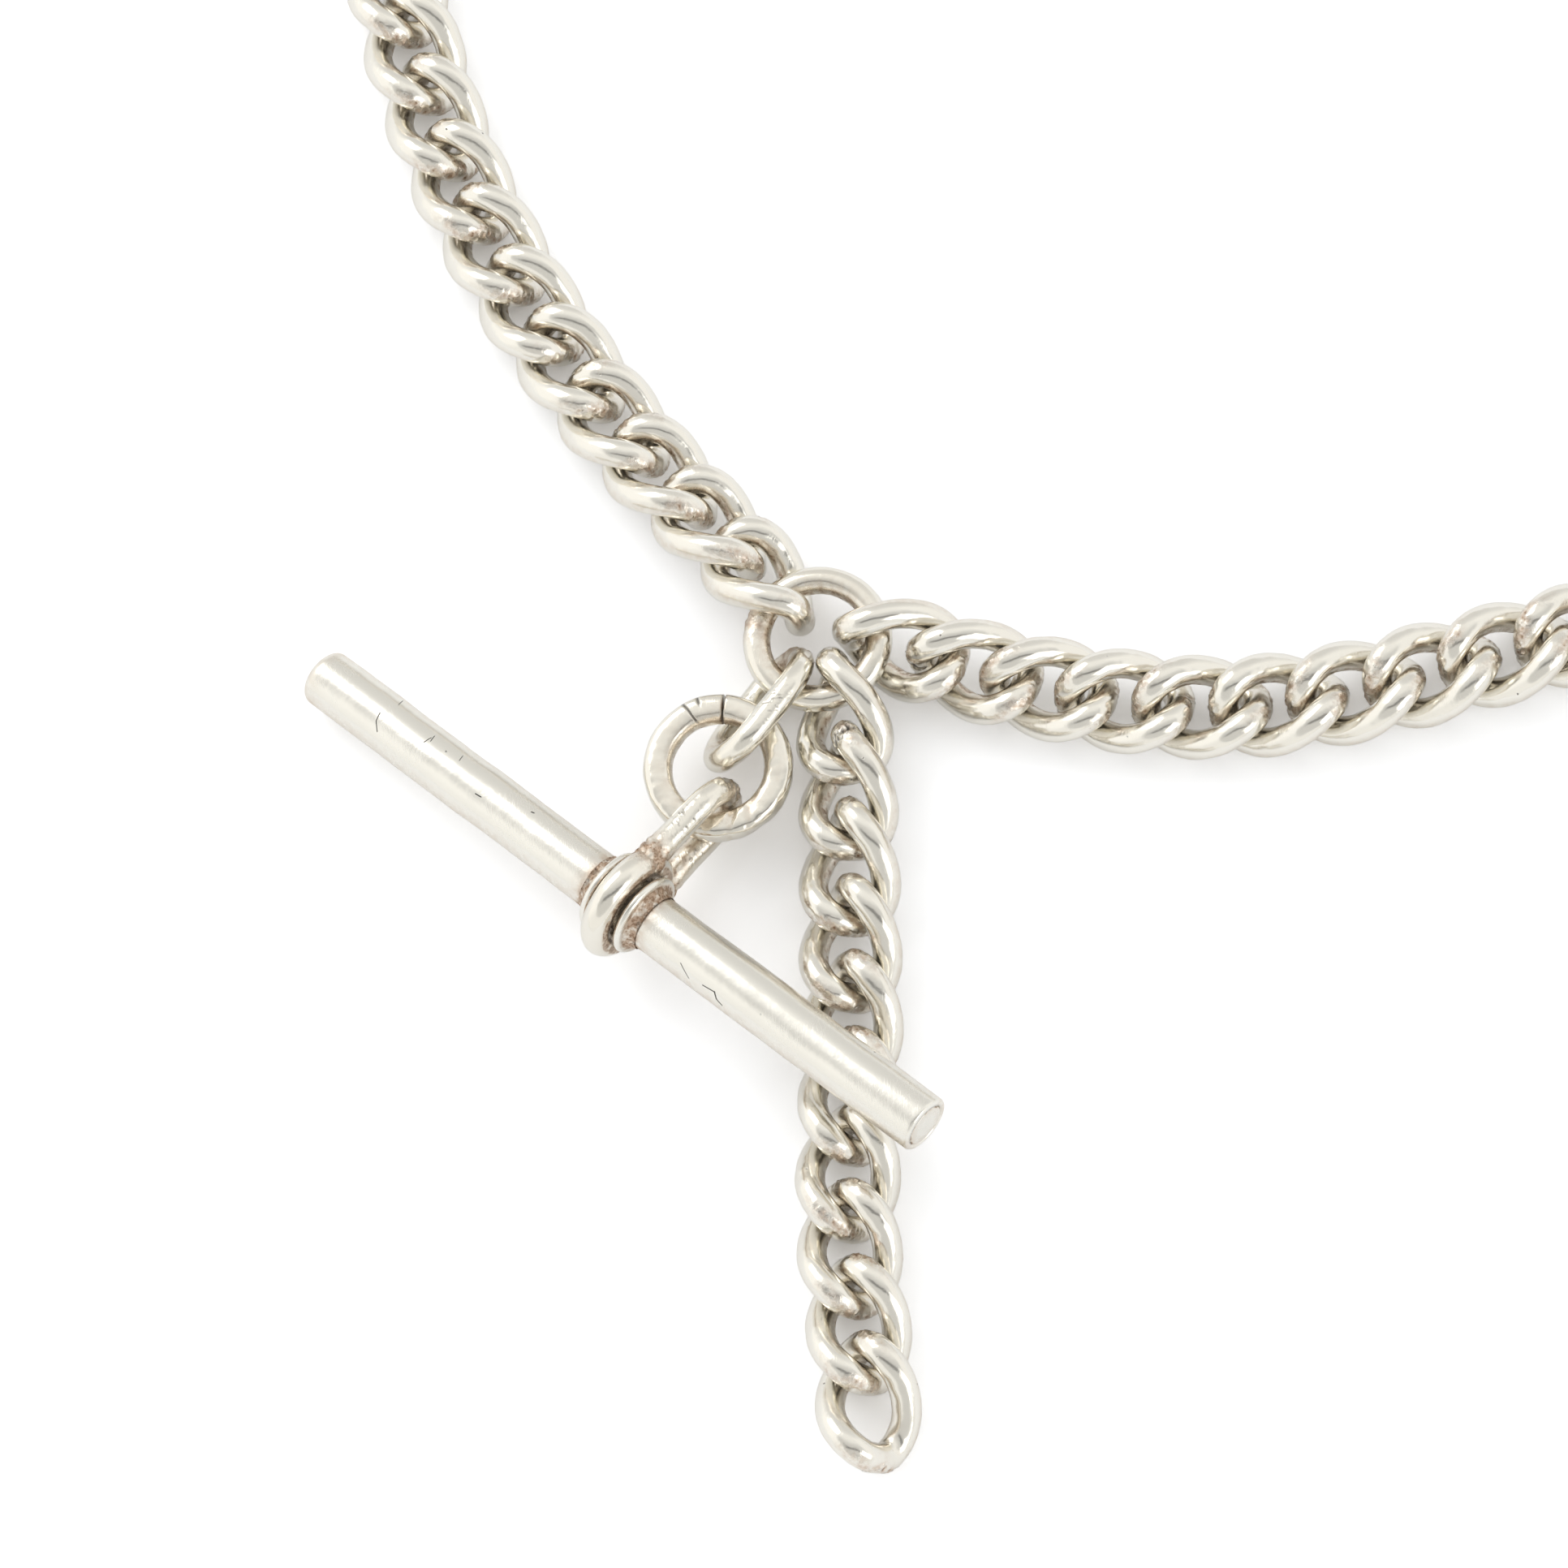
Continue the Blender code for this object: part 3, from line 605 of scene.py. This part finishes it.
def curb_link(node, seed):
    """One curb link: its wire, with a line of solder beads round each end bend.

    The beads are filed down on the centre ring. The wire's sides get a film, partly tarnish
    where no hand rubs and partly painted shade on their edges. Tarnish is heaviest where the next link lies close.
    """
    rng = np.random.default_rng(seed)
    middle, axes = own_axes(node)
    inner = inner_side(ROUND)
    seam, beads = 0.0, ripple(WIRE, BEAD_SIZE, seed + 1)
    near_beads = FILED_BEADS if node.endswith("_01") else 1.0
    for side, share in ((-1, near_beads), (1, FAR_BEADS)):
        away = np.arctan2(LOOP[:, 1], side * LOOP[:, 0]) - rng.uniform(-0.25, 0.25)
        line = 0.35 * ripple(LOOP, 1.3 * MM, seed + 2)[:, None] - rng.uniform(0.1, 0.6)
        seam = seam + share * bump(away, 0.42)[:, None] * bump(wrapped(ROUND - line), 0.45)
        if side < 0:
            jag = 0.05 * ripple(WIRE, 0.3 * MM, seed + 5)
            groove = (node in OPEN_LINKS) * bump(away[:, None] - 0.12 + jag, 0.03)
    groove = groove * eased(np.cos(ROUND + 0.8), -0.2, 0.5)
    clear = eased(BESIDE, 0.2 * MM, 0.5 * MM)
    raised = (WAVES * ripple(WIRE, 1.1 * MM, seed) - OPEN_CUT_DEPTH * groove
              + BEAD_HEIGHT * seam * clear * np.clip(0.3 + beads, -0.5, 1.0))

    close = 1 - eased(BESIDE, 0.15 * MM, 0.9 * MM)
    bent = eased(np.abs(LOOP[:, :1]), 0.6 * LINK_HALF_LENGTH, 0.9 * LINK_HALF_LENGTH)
    # Painted shade on the link's edges, partly tarnish where no hand rubs: film on the wire's sides, less on the
    # end bends
    flank_tarnish_and_shade = (1 - eased(np.abs(FACE[..., 2]), 0.1, 0.5)) * (1 - 0.8 * bent)
    tarnish = (0.26 * close * inner + flank_tarnish_and_shade * (0.24 + 0.34 * inner)
               + 0.75 * seam * (0.45 - 0.7 * beads))
    skin = Skin()
    skin.add(middle + lifted(WIRE, FACE, raised) @ axes, tarnish=np.clip(tarnish, 0, 1),
             solder=np.minimum(seam, 1), cut=groove)
    skin.piece(node.replace("link", "curb"), node, CHAIN_SILVER, "chain_silver", node)


for number, node in enumerate(sorted(name for name in frame["nodes"] if "_link_" in name)):
    curb_link(node, 10 * number)


def round_ring(middle, axes, radius, wire, seed, seam, sides=36):
    """A ring of round wire in the plane of the first two axes, with a lumpy seam at one angle."""
    t = np.linspace(0, TURN, 192, endpoint=False)
    path = arc(radius, t)
    grid, face, v = tube(path, path, wire / 2, sides=sides)
    inner = inner_side(v)
    patch, raised = solder_seam(grid, wrapped(t - seam), 1 - inner ** 2, seed, RING_SEAM_HEIGHT, 0.22)
    raised = raised + RING_WAVES * ripple(grid, 1.2 * MM, seed + 2)
    return middle + lifted(grid, face, raised) @ axes, 0.6 * inner ** 2 + 0.4 * patch, patch


def centre_ring():
    """The round ring that the arms, the drop and the oval link hang on."""
    low, high = (np.array(end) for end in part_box("centre_ring"))
    radius = (high - low)[0] / 2 - RING_WIRE / 2
    grid, tarnish, patch = round_ring((low + high) / 2, np.eye(3), radius, RING_WIRE, 901, RING_SEAM)
    skin = Skin()
    skin.add(grid, tarnish=tarnish, solder=patch)
    skin.piece("joining_ring", "centre_ring", RING_SILVER, "ring_silver", "centre_ring")


def speckle(grid, up, seed):
    """Small grey pits on the side that faces up, as a share from 0 to 1."""
    return 0.6 * eased(ripple(grid, PIT_SIZE, seed), 0.5, 1.3) * eased(up, 0.3, 0.8)


def oval_link():
    """A long loop: two half circles and the straight sides between them, lumpy at one end."""
    middle, axes = own_axes("oval_link")
    bend = arc(OVAL_R, HALF_TURN)
    shift = np.array((OVAL_HALF_LENGTH - OVAL_R, 0, 0))
    loop = evenly(np.concatenate((bend + shift, -bend - shift)), 168)
    grid, face, v = tube(loop, loop, OVAL_WIRE / 2, sides=32)
    angle = np.arctan2(loop[:, 1], -loop[:, 0])
    inner = inner_side(v)
    patch, raised = solder_seam(grid, angle, 1 - inner ** 2, 911, OVAL_SEAM_HEIGHT, 0.30)
    raised = raised + WAVES * ripple(grid, 1.4 * MM, 913) - OVAL_WORN
    bent = eased(np.abs(loop[:, 0]), 1.5 * MM, 3.2 * MM)[:, None]
    pitted = bump(loop[:, 0], 0.9 * MM)[:, None] * speckle(grid, (face @ axes)[..., 2], 914)
    skin = Skin()
    skin.add(middle + lifted(grid, face, raised) @ axes,
             tarnish=0.7 * inner ** 2 * bent + 0.4 * patch, solder=patch, cut=pitted)
    skin.piece("long_link", "oval", RING_SILVER, "ring_silver", "oval_link")


def jump_ring():
    """A ring of squared wire, sawn through, with two file strokes by the cut and dents on one side."""
    low, high = (np.array(end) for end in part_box("jump_ring"))
    middle = (low + high) / 2
    radius = (high - low)[0] / 2 - JUMP_WIRE / 2
    slit = JUMP_SLIT / radius
    past = np.linspace(slit / 2, TURN - slit / 2, 420)
    path = arc(radius, JUMP_SEAM + past)
    grid, face, v = tube(path, path, JUMP_WIRE / 2, closed=False, sides=56, squareness=JUMP_SQUARENESS)
    upper = eased(-np.sin(v), 0.2, 0.6)
    short = bump(past - SHORT_STROKE, STROKE_WIDTH)[:, None] * eased(np.cos(v), 0.0, 0.3)
    slant = past[:, None] - LONG_STROKE - 0.05 * np.cos(v)
    long = bump(slant, STROKE_WIDTH) * eased(np.cos(v), -0.9, -0.6)
    cut = (short + long) * upper
    lips = (bump(past - past[0], 0.03) + bump(past - past[-1], 0.03))[:, None]
    knocked = bump(wrapped(JUMP_SEAM + past - JUMP_KNOCKS), 1.3)[:, None]
    knocked = knocked * np.clip(ripple(grid, KNOCK_SIZE, 923), 0, 1.5)
    raised = JUMP_WAVES * ripple(grid, 1.6 * MM, 921) + JUMP_DIMPLES * ripple(grid, 0.5 * MM, 922)
    raised = raised - STROKE_DEPTH * cut - KNOCK_DEPTH * knocked
    tarnish = 0.45 * inner_side(v) ** 2 + 0.5 * lips + 0.25 * knocked
    skin = Skin()
    skin.add(middle + lifted(grid, face, raised), closed=False, tarnish=tarnish,
             cut=np.minimum(0.9 * cut + 0.5 * lips ** 3, 1))
    skin.piece("cut_ring", "jump", RING_SILVER, "ring_silver", "jump_ring")


def swivel_ring():
    """The ring that turns on the bar, dark where it faces the collars."""
    place, axes = joint_axes("bar")
    ring_axes = np.array((axes[1], axes[2], axes[0]))
    sides = 40
    grid, tarnish, patch = round_ring(place, ring_axes, SWIVEL_R, SWIVEL_WIRE, 931, SWIVEL_SEAM, sides)
    v = np.linspace(0, TURN, sides, endpoint=False)
    by_collars = eased(np.abs(np.sin(v)), 0.8, 1.0) * (np.cos(v) < 0.4)
    skin = Skin()
    skin.add(grid, tarnish=tarnish + 0.9 * by_collars, solder=patch)
    skin.piece("swivel_hoop", "swivel", RING_SILVER, "ring_silver", "swivel_ring")


def bail_loop():
    """The U of wire soldered to the swivel ring, lumpy with solder at its root and its tip."""
    place, axes = joint_axes("bar")
    way = math.cos(BAIL_FALL) * axes[1] - math.sin(BAIL_FALL) * UP
    way = unit(way - (way @ axes[0]) * axes[0])
    bail_axes = np.array((way, np.cross(way, axes[0]), axes[0]))
    bend = arc(BAIL_HALF, HALF_TURN)
    bend[:, 0] += BAIL_REACH - BAIL_HALF
    root = math.sqrt(SWIVEL_R ** 2 - BAIL_HALF ** 2)
    legs = np.array(((root, -BAIL_HALF, 0), (root, BAIL_HALF, 0)))
    path = evenly(np.concatenate((legs[:1], bend, legs[1:])), 150, closed=False)
    flare = 1 + 0.10 * bump(path[:, 0] - root, 1.6 * MM)
    grid, face, v = tube(path, path - BAIL_INSIDE, BAIL_WIRE / 2 * flare, closed=False, sides=32)
    at_root = bump(path[:, 0] - root - 0.6 * MM, 0.9 * MM)[:, None]
    at_tip = (bump(path[:, 1] + 0.4 * MM, 0.9 * MM) * (path[:, 0] > BAIL_TIP))[:, None]
    patch = 0.9 * at_root + at_tip * eased(np.cos(v), -0.3, 0.5)
    lumps = np.clip(ripple(grid, LUMP_SIZE, 941), -0.8, 1) - 0.9 * at_tip
    raised = BAIL_LUMP_HEIGHT * patch * lumps + WAVES * ripple(grid, 1.3 * MM, 942)
    tarnish = 0.5 * inner_side(v) ** 2 + at_root + 0.15 * at_tip
    pitted = speckle(grid, (face @ bail_axes)[..., 2], 943)
    pitted = pitted * bump(path[:, 0] - BAIL_PITS, 1.0 * MM)[:, None]
    skin = Skin()
    skin.add(place + lifted(grid, face, raised) @ bail_axes, closed=False, tarnish=tarnish,
             solder=0.8 * patch, cut=pitted)
    skin.piece("bail", "swivel", RING_SILVER, "ring_silver", "bail_loop")


def bar_tube():
    """The bar's tube: softly worn at its left end, crisper at its right one, open to the plugs."""
    place, axes = joint_axes("bar")
    soft, sharp = 0.55 * MM, 0.22 * MM
    length = np.linspace(BAR_LEFT + soft, BAR_RIGHT - sharp, 360)
    profile = np.concatenate((
        [(BAR_LEFT, BORE_R)], corner((BAR_LEFT + soft, BAR_R - soft), soft, 180, 90)[2:-1],
        np.stack((length, np.full_like(length, BAR_R)), axis=1),
        corner((BAR_RIGHT - sharp, BAR_R - sharp), sharp, 90, 0)[1:],
        [(BAR_RIGHT, BORE_R), (BAR_RIGHT - PLUG_LENGTH, BORE_R), (BAR_LEFT + PLUG_LENGTH, BORE_R)]))
    grid, face, v = turned(profile, place, axes, 128)
    x, r = profile.T[..., None]
    outside = r > BORE_R + 0.1 * MM
    raised = BAR_BOWS * ripple(grid, 9 * MM, 951) + BAR_DENTS * ripple(grid, 2.5 * MM, 952) - BAR_WORN
    brown = bump(np.abs(x) - COLLAR_AT - 0.35 * MM, 0.75 * MM)
    turn = wrapped(v - TURN / 4)
    # Painted shade: a film along both sides of the bar, fading on its underside, darkens its edges
    sides = eased(np.abs(turn), 0.75, 1.5) * (1 - 0.7 * eased(np.abs(turn), 1.8, 2.6))
    tarnish = 0.9 * brown + 0.25 * bump(x - BAR_LEFT, 0.9 * MM) + 0.30 * sides
    skin = Skin()
    skin.add(lifted(grid, face, outside * raised), tarnish=tarnish, solder=0.7 * brown,
             along=x / MM, around=turn * BAR_R / MM)
    skin.piece("bar_sleeve", "bar", BAR_SILVER, "bar_silver", "bar_tube")


def bar_plugs():
    """The turned plugs that close the tube, with a dark line round each."""
    place, axes = joint_axes("bar")
    edge = 0.10 * MM
    for low, name, node in ((BAR_LEFT, "left_end_plug", "bar_plug_left"),
                            (BAR_RIGHT - PLUG_LENGTH, "right_end_plug", "bar_plug_right")):
        high = low + PLUG_LENGTH
        profile = np.concatenate((
            [(low, TURNED_CENTRE), (low, PLUG_R / 2)],
            corner((low + edge, PLUG_R - edge), edge, 180, 90),
            corner((high - edge, PLUG_R - edge), edge, 90, 0),
            [(high, PLUG_R / 2), (high, TURNED_CENTRE)]))
        grid, _, _ = turned(profile, place, axes)
        skin = Skin()
        skin.add(grid, closed=False, tarnish=0.8 * bump(profile[:, 1:] - PLUG_R, 0.1 * MM))
        skin.piece(name, "bar", BAR_SILVER, "bar_silver", node)


def bar_collars():
    """The thin collars beside the swivel ring, each with a fillet of solder on its far side."""
    place, axes = joint_axes("bar")
    half, inside = COLLAR_THICK / 2, BAR_R + 0.03 * MM
    lip = half * 0.9
    middle = (inside + COLLAR_R) / 2
    s = np.linspace(0, 1, 10)
    fillet = np.stack((half + 0.6 * MM * s, inside + 0.35 * MM * (1 - s) ** 2), axis=1)
    right_hand = np.concatenate((
        [(-half, inside), (-half, middle)], corner((0, COLLAR_R - lip), lip, 180, 0, 16),
        [(half, middle)], fillet)) + (COLLAR_AT, 0)
    left_hand = right_hand[::-1] * (-1, 1)
    for profile, seed, name, node in ((left_hand, 959, "left_collar", "bar_collar_left"),
                                      (right_hand, 961, "right_collar", "bar_collar_right")):
        grid, face, _ = turned(profile, place, axes)
        x, r = np.abs(profile.T[..., None])
        on_fillet = eased(x, COLLAR_AT + half * 0.8, COLLAR_AT + half * 1.1)
        raised = FILLET_LUMP_HEIGHT * on_fillet * ripple(grid, FILLET_LUMP_SIZE, seed)
        deep = 1 - eased(r, inside + 0.2 * MM, COLLAR_R - 0.1 * MM)
        facing = eased(COLLAR_AT - x, 0.3 * half, 0.9 * half)
        skin = Skin()
        skin.add(lifted(grid, face, raised), tarnish=np.maximum(on_fillet, 0.9 * deep),
                 solder=on_fillet, cut=0.85 * facing * deep)
        skin.piece(name, "bar", BAR_SILVER, "bar_silver", node)


def clip_end_ring(arm):
    """The ring that the arm's last link holds."""
    middle, axes = own_axes(arm + "_clip_end_ring")
    grid, tarnish, patch = round_ring(middle, axes, CLIP_R, CLIP_WIRE, 971, CLIP_SEAM, 28)
    skin = Skin()
    skin.add(grid, tarnish=tarnish, solder=patch)
    skin.piece(arm + "_end_hoop", arm + "_clip_ring", CLIP_SILVER, "clip_silver",
               arm + "_clip_end_ring")


def clip_eye(arm):
    """The eye on the end ring, with the shank and the rivet head that the barrel turns on."""
    place, axes = joint_axes(arm + "_clip_hook")
    c, s = math.cos(CLIP_ROLL), math.sin(CLIP_ROLL)
    lean = np.array(((1, 0, 0), (0, c, -s), (0, s, c))) @ axes
    centre = place - axes[0] * (EYE_R + CLIP_WIRE / 2)
    grid, tarnish, patch = round_ring(centre, lean, EYE_R, CLIP_WIRE, 975, 0.0, 28)
    skin = Skin()
    skin.add(grid, tarnish=tarnish, solder=patch)
    soft, dome = 0.2 * MM, 0.35 * MM
    profile = np.concatenate((
        [(-0.9 * MM, 0.3 * MM), (-0.7 * MM, SHANK_R), (HEAD_BACK, SHANK_R)],
        corner((HEAD_BACK + soft, RIVET_R - soft), soft, 180, 90),
        corner((HEAD_FRONT - dome, RIVET_R - dome), dome, 90, 0), [(HEAD_FRONT, 2 * TURNED_CENTRE)]))
    grid, _, _ = turned(profile, place, axes, 48)
    skin.add(grid, closed=False, tarnish=0.3)
    skin.piece(arm + "_swivel_eye", arm + "_clip_eye", CLIP_SILVER, "clip_silver", arm + "_clip_eye")


def clip_hook(arm):
    """The barrel, the arm that bends round from it, and the tongue that holds the gate."""
    place, axes = joint_axes(arm + "_clip_hook")
    soft = 0.35 * MM
    profile = np.concatenate((
        [(BARREL_BACK, BARREL_BORE)], corner((BARREL_BACK + soft, BARREL_R - soft), soft, 180, 90),
        corner((BARREL_FRONT - soft, BARREL_R - soft), soft, 90, 0), [(BARREL_FRONT, BARREL_BORE)]))
    grid, _, _ = turned(profile, place, axes)
    skin = Skin()
    skin.add(grid, tarnish=0.5 * bump(profile[:, 1:] - BARREL_BORE, 0.4 * MM))

    way = np.concatenate((HOOK_WAY * (HOOK_LENGTH, HOOK_HALF_WIDTH), HOOK_TAPERS[:, None]), axis=1)
    run = flowing(way, 160)
    path = np.concatenate((run[:, :2], 0 * run[:, :1]), axis=1)
    radius = np.minimum(HOOK_R * run[:, 2], domed(path, HOOK_R * HOOK_TAPERS[-1], 0.7 * MM))
    outward = path - np.array((HOOK_LENGTH / 2, -HOOK_HALF_WIDTH / 4, 0))
    grid, face, v = tube(path, outward, radius, closed=False, sides=32)
    raised = WAVES * ripple(grid, 1.6 * MM, 981)
    tarnish = 0.5 * inner_side(v) ** 2 + 0.4 * bump(path[:, 0], 2.5 * MM)[:, None]
    skin.add(place + lifted(grid, face, raised) @ axes, closed=False, tarnish=tarnish)

    skin.add(plate(TONGUE_SEAT, HINGE, KNUCKLE_R, -TONGUE_HALF, TONGUE_HALF, 0.12 * MM, place, axes),
             closed=False, tarnish=0.3)
    skin.piece(arm + "_snap_hook", arm + "_clip_hook", CLIP_SILVER, "clip_silver", arm + "_clip_hook")


def clip_gate(arm):
    """The gate: two cheeks bored for the pin, the block between them and a rod with a domed tip."""
    place, axes = joint_axes(arm + "_clip_hook")
    hinge = place + HINGE @ axes
    near, root = np.zeros(3), np.array((FORK_ROOT, 0, 0))
    skin = Skin()
    for low, high in ((-CHEEK_OUT, -CHEEK_IN), (CHEEK_IN, CHEEK_OUT)):
        cheek = plate(near, root, KNUCKLE_R, low, high, 0.14 * MM, hinge, axes)
        radial = cheek[[3, 0]] - hinge
        height = (radial @ axes[2])[..., None] * axes[2]
        bore = hinge + height + unit(radial - height) * (PIN_R + PIN_PLAY)
        skin.add(np.concatenate((cheek, bore)), tarnish=0.25)
    half = CHEEK_OUT * 0.9
    clear = KNUCKLE_R + 0.08 * MM
    block = plate(near, root, KNUCKLE_R * 0.98, -half, half, 0.1 * MM, hinge, axes, least=clear)
    skin.add(block, closed=False, tarnish=0.6)
    path = np.linspace((FORK_ROOT, 0, 0), (GATE_LENGTH, 0, 0), 80)
    grid, _, _ = tube(path, LEVEL, domed(path, GATE_R, GATE_R * 0.7), closed=False)
    tarnish = 0.5 * bump(path[:, :1] - FORK_ROOT, 1.2 * MM)
    skin.add(hinge + grid @ axes, closed=False, tarnish=tarnish)
    skin.piece(arm + "_snap_gate", arm + "_clip_gate", CLIP_SILVER, "clip_silver", arm + "_clip_gate")


def gate_pin(arm):
    """The pin through the cheeks and the tongue, with softened ends."""
    place, axes = joint_axes(arm + "_clip_hook")
    pin_axes = np.array((axes[2], axes[0], axes[1]))
    dome = 0.12 * MM
    profile = np.concatenate((
        [(-CHEEK_OUT, TURNED_CENTRE)], corner((-CHEEK_OUT + dome, PIN_R - dome), dome, 180, 90),
        corner((CHEEK_OUT - dome, PIN_R - dome), dome, 90, 0), [(CHEEK_OUT, TURNED_CENTRE)]))
    grid, _, _ = turned(profile, place + HINGE @ axes, pin_axes, 40)
    skin = Skin()
    skin.add(grid, closed=False, tarnish=0.5 * bump(profile[:, 1:] - PIN_R, 0.1 * MM))
    skin.piece(arm + "_hinge_pin", arm + "_clip_hook", CLIP_SILVER, "clip_silver",
               arm + "_clip_gate_pin")


def gate_spring(arm):
    """The flat spring behind the gate."""
    place, axes = joint_axes(arm + "_clip_hook")
    path = flowing(LEAF_WAY, 48)
    grid, _, _ = tube(path, LEVEL, LEAF_THICK / 2, LEAF_WIDTH / 2, closed=False, squareness=6.0)
    skin = Skin()
    skin.add(place + grid @ axes, closed=False, tarnish=0.4 * bump(path[:, :1] - path[0, 0], 1 * MM))
    root, tip = (tuple(place + end @ axes) for end in (path[0], path[-1]))
    skin.piece(arm + "_leaf_spring", arm + "_clip_hook", SPRING_STEEL, "spring_steel",
               arm + "_clip_gate_spring", bent=(arm + "_clip_gate", root, tip))


centre_ring()
oval_link()
jump_ring()
swivel_ring()
bail_loop()
bar_tube()
bar_plugs()
bar_collars()
for arm in ("left", "right"):
    clip_end_ring(arm)
    clip_eye(arm)
    clip_hook(arm)
    clip_gate(arm)
    gate_pin(arm)
    gate_spring(arm)


def camera_axes():
    """The camera's right, up and back: level axes leaned over towards one side."""
    side = np.array((math.cos(CAMERA_SIDE), math.sin(CAMERA_SIDE), 0))
    c, s = math.cos(CAMERA_LEAN) - 1, math.sin(CAMERA_LEAN)
    return np.eye(3) + np.outer(c * side + s * UP, side) + np.outer(c * UP - s * side, UP)


def place_camera():
    axes = camera_axes()
    camera = bpy.data.objects.new("camera", bpy.data.cameras.new("camera"))
    bpy.context.scene.collection.objects.link(camera)
    camera.data.lens = CAMERA_LENS
    camera.data.sensor_width = 36
    camera.data.clip_start, camera.data.clip_end = 0.01, 20
    matrix = Matrix(axes.T.tolist()).to_4x4()
    matrix.translation = AIM + CAMERA_FAR * axes[2]
    camera.matrix_world = matrix
    bpy.context.scene.camera = camera


def lay_floor():
    """A plain white table top. Seen straight, it is paler than what it throws on the metal."""
    material = bpy.data.materials.new("white_table")
    material.use_nodes = True
    nodes = Nodes(material.node_tree)
    matt = nodes.make("BsdfDiffuse", {}, {"Color": (0.945, 0.955, 0.975, 1)})
    more = nodes.make("BsdfDiffuse", {}, {"Color": (0.36, 0.37, 0.395, 1)})
    glow = nodes.make("Emission", {}, {"Color": (1.0, 0.92, 0.84, 1), "Strength": 0.055})
    paler = nodes.make("AddShader", {}, {0: matt, 1: more})
    paler = nodes.make("AddShader", {}, {0: paler, 1: glow})
    straight = nodes.make("LightPath", output="Is Camera Ray")
    mirrored = nodes.make("LightPath", output="Is Glossy Ray")
    shader = nodes.make("MixShader", {}, {0: straight + 0.2 * mirrored, 1: matt, 2: paler})
    nodes.make("OutputMaterial", {}, {"Surface": shader})
    corners = TABLE_HALF * np.array(((-1, -1, 0), (1, -1, 0), (1, 1, 0), (-1, 1, 0)))
    mesh = bpy.data.meshes.new("table")
    mesh.from_pydata(corners, [], [(0, 1, 2, 3)])
    mesh.materials.append(material)
    table = bpy.data.objects.new("table", mesh)
    bpy.context.scene.collection.objects.link(table)


def soft_box(name, place, size, level):
    """A square of soft light that faces the chain. Its level is its brightness against white."""
    lamp = bpy.data.lights.new(name, "AREA")
    lamp.size = size
    lamp.energy = level * math.pi * size ** 2
    obj = bpy.data.objects.new(name, lamp)
    bpy.context.scene.collection.objects.link(obj)
    back = unit(np.array(place))
    right = unit(np.cross(UP, back))
    matrix = Matrix(np.array((right, np.cross(back, right), back)).T.tolist()).to_4x4()
    matrix.translation = place
    obj.matrix_world = matrix


def light_room():
    """A white tent, greyer overhead and above the picture, with a dark gap behind the camera."""
    world = bpy.data.worlds.new("tent")
    bpy.context.scene.world = world
    world.use_nodes = True
    nodes = Nodes(world.node_tree)
    way = nodes.make("TexCoord", output="Generated")

    def toward(axis):
        return nodes.make("VectorMath", {"operation": "DOT_PRODUCT"}, {0: way, 1: tuple(axis)}, "Value")

    right, rise, lens = (toward(axis) for axis in camera_axes())
    gap = (1.0 - abs(right).eased(0.40, 0.72)) * (1.0 - abs(rise + 0.08).eased(0.04, 0.15))
    walls = (1.10 - 0.36 * rise.eased(0.62, 1.02)) * (1.0 - 0.10 * right.eased(0.0, 0.8))
    walls = walls - 0.14 * (0.0 - rise).eased(0.05, 0.5)
    roof = 0.68 + 0.26 * rise.eased(0.15, 0.6)
    level = walls + lens.eased(0.58, 0.68) * (roof - walls)
    level = level * (1.0 - 0.70 * gap)
    colour = nodes.make("CombineColor", {}, {0: level, 1: level * 0.995, 2: level * 0.975})
    sky = nodes.make("Background", {}, {"Color": colour, "Strength": 1.0})
    nodes.make("OutputWorld", {}, {"Surface": sky})
    soft_box("left_soft_box", (-0.275, 0.30, 0.37), 0.30, 1.6)
    soft_box("right_soft_box", (0.40, -0.26, 0.26), 0.30, 1.2)


place_camera()
lay_floor()
light_room()
bpy.context.scene.view_settings.view_transform = "Standard"
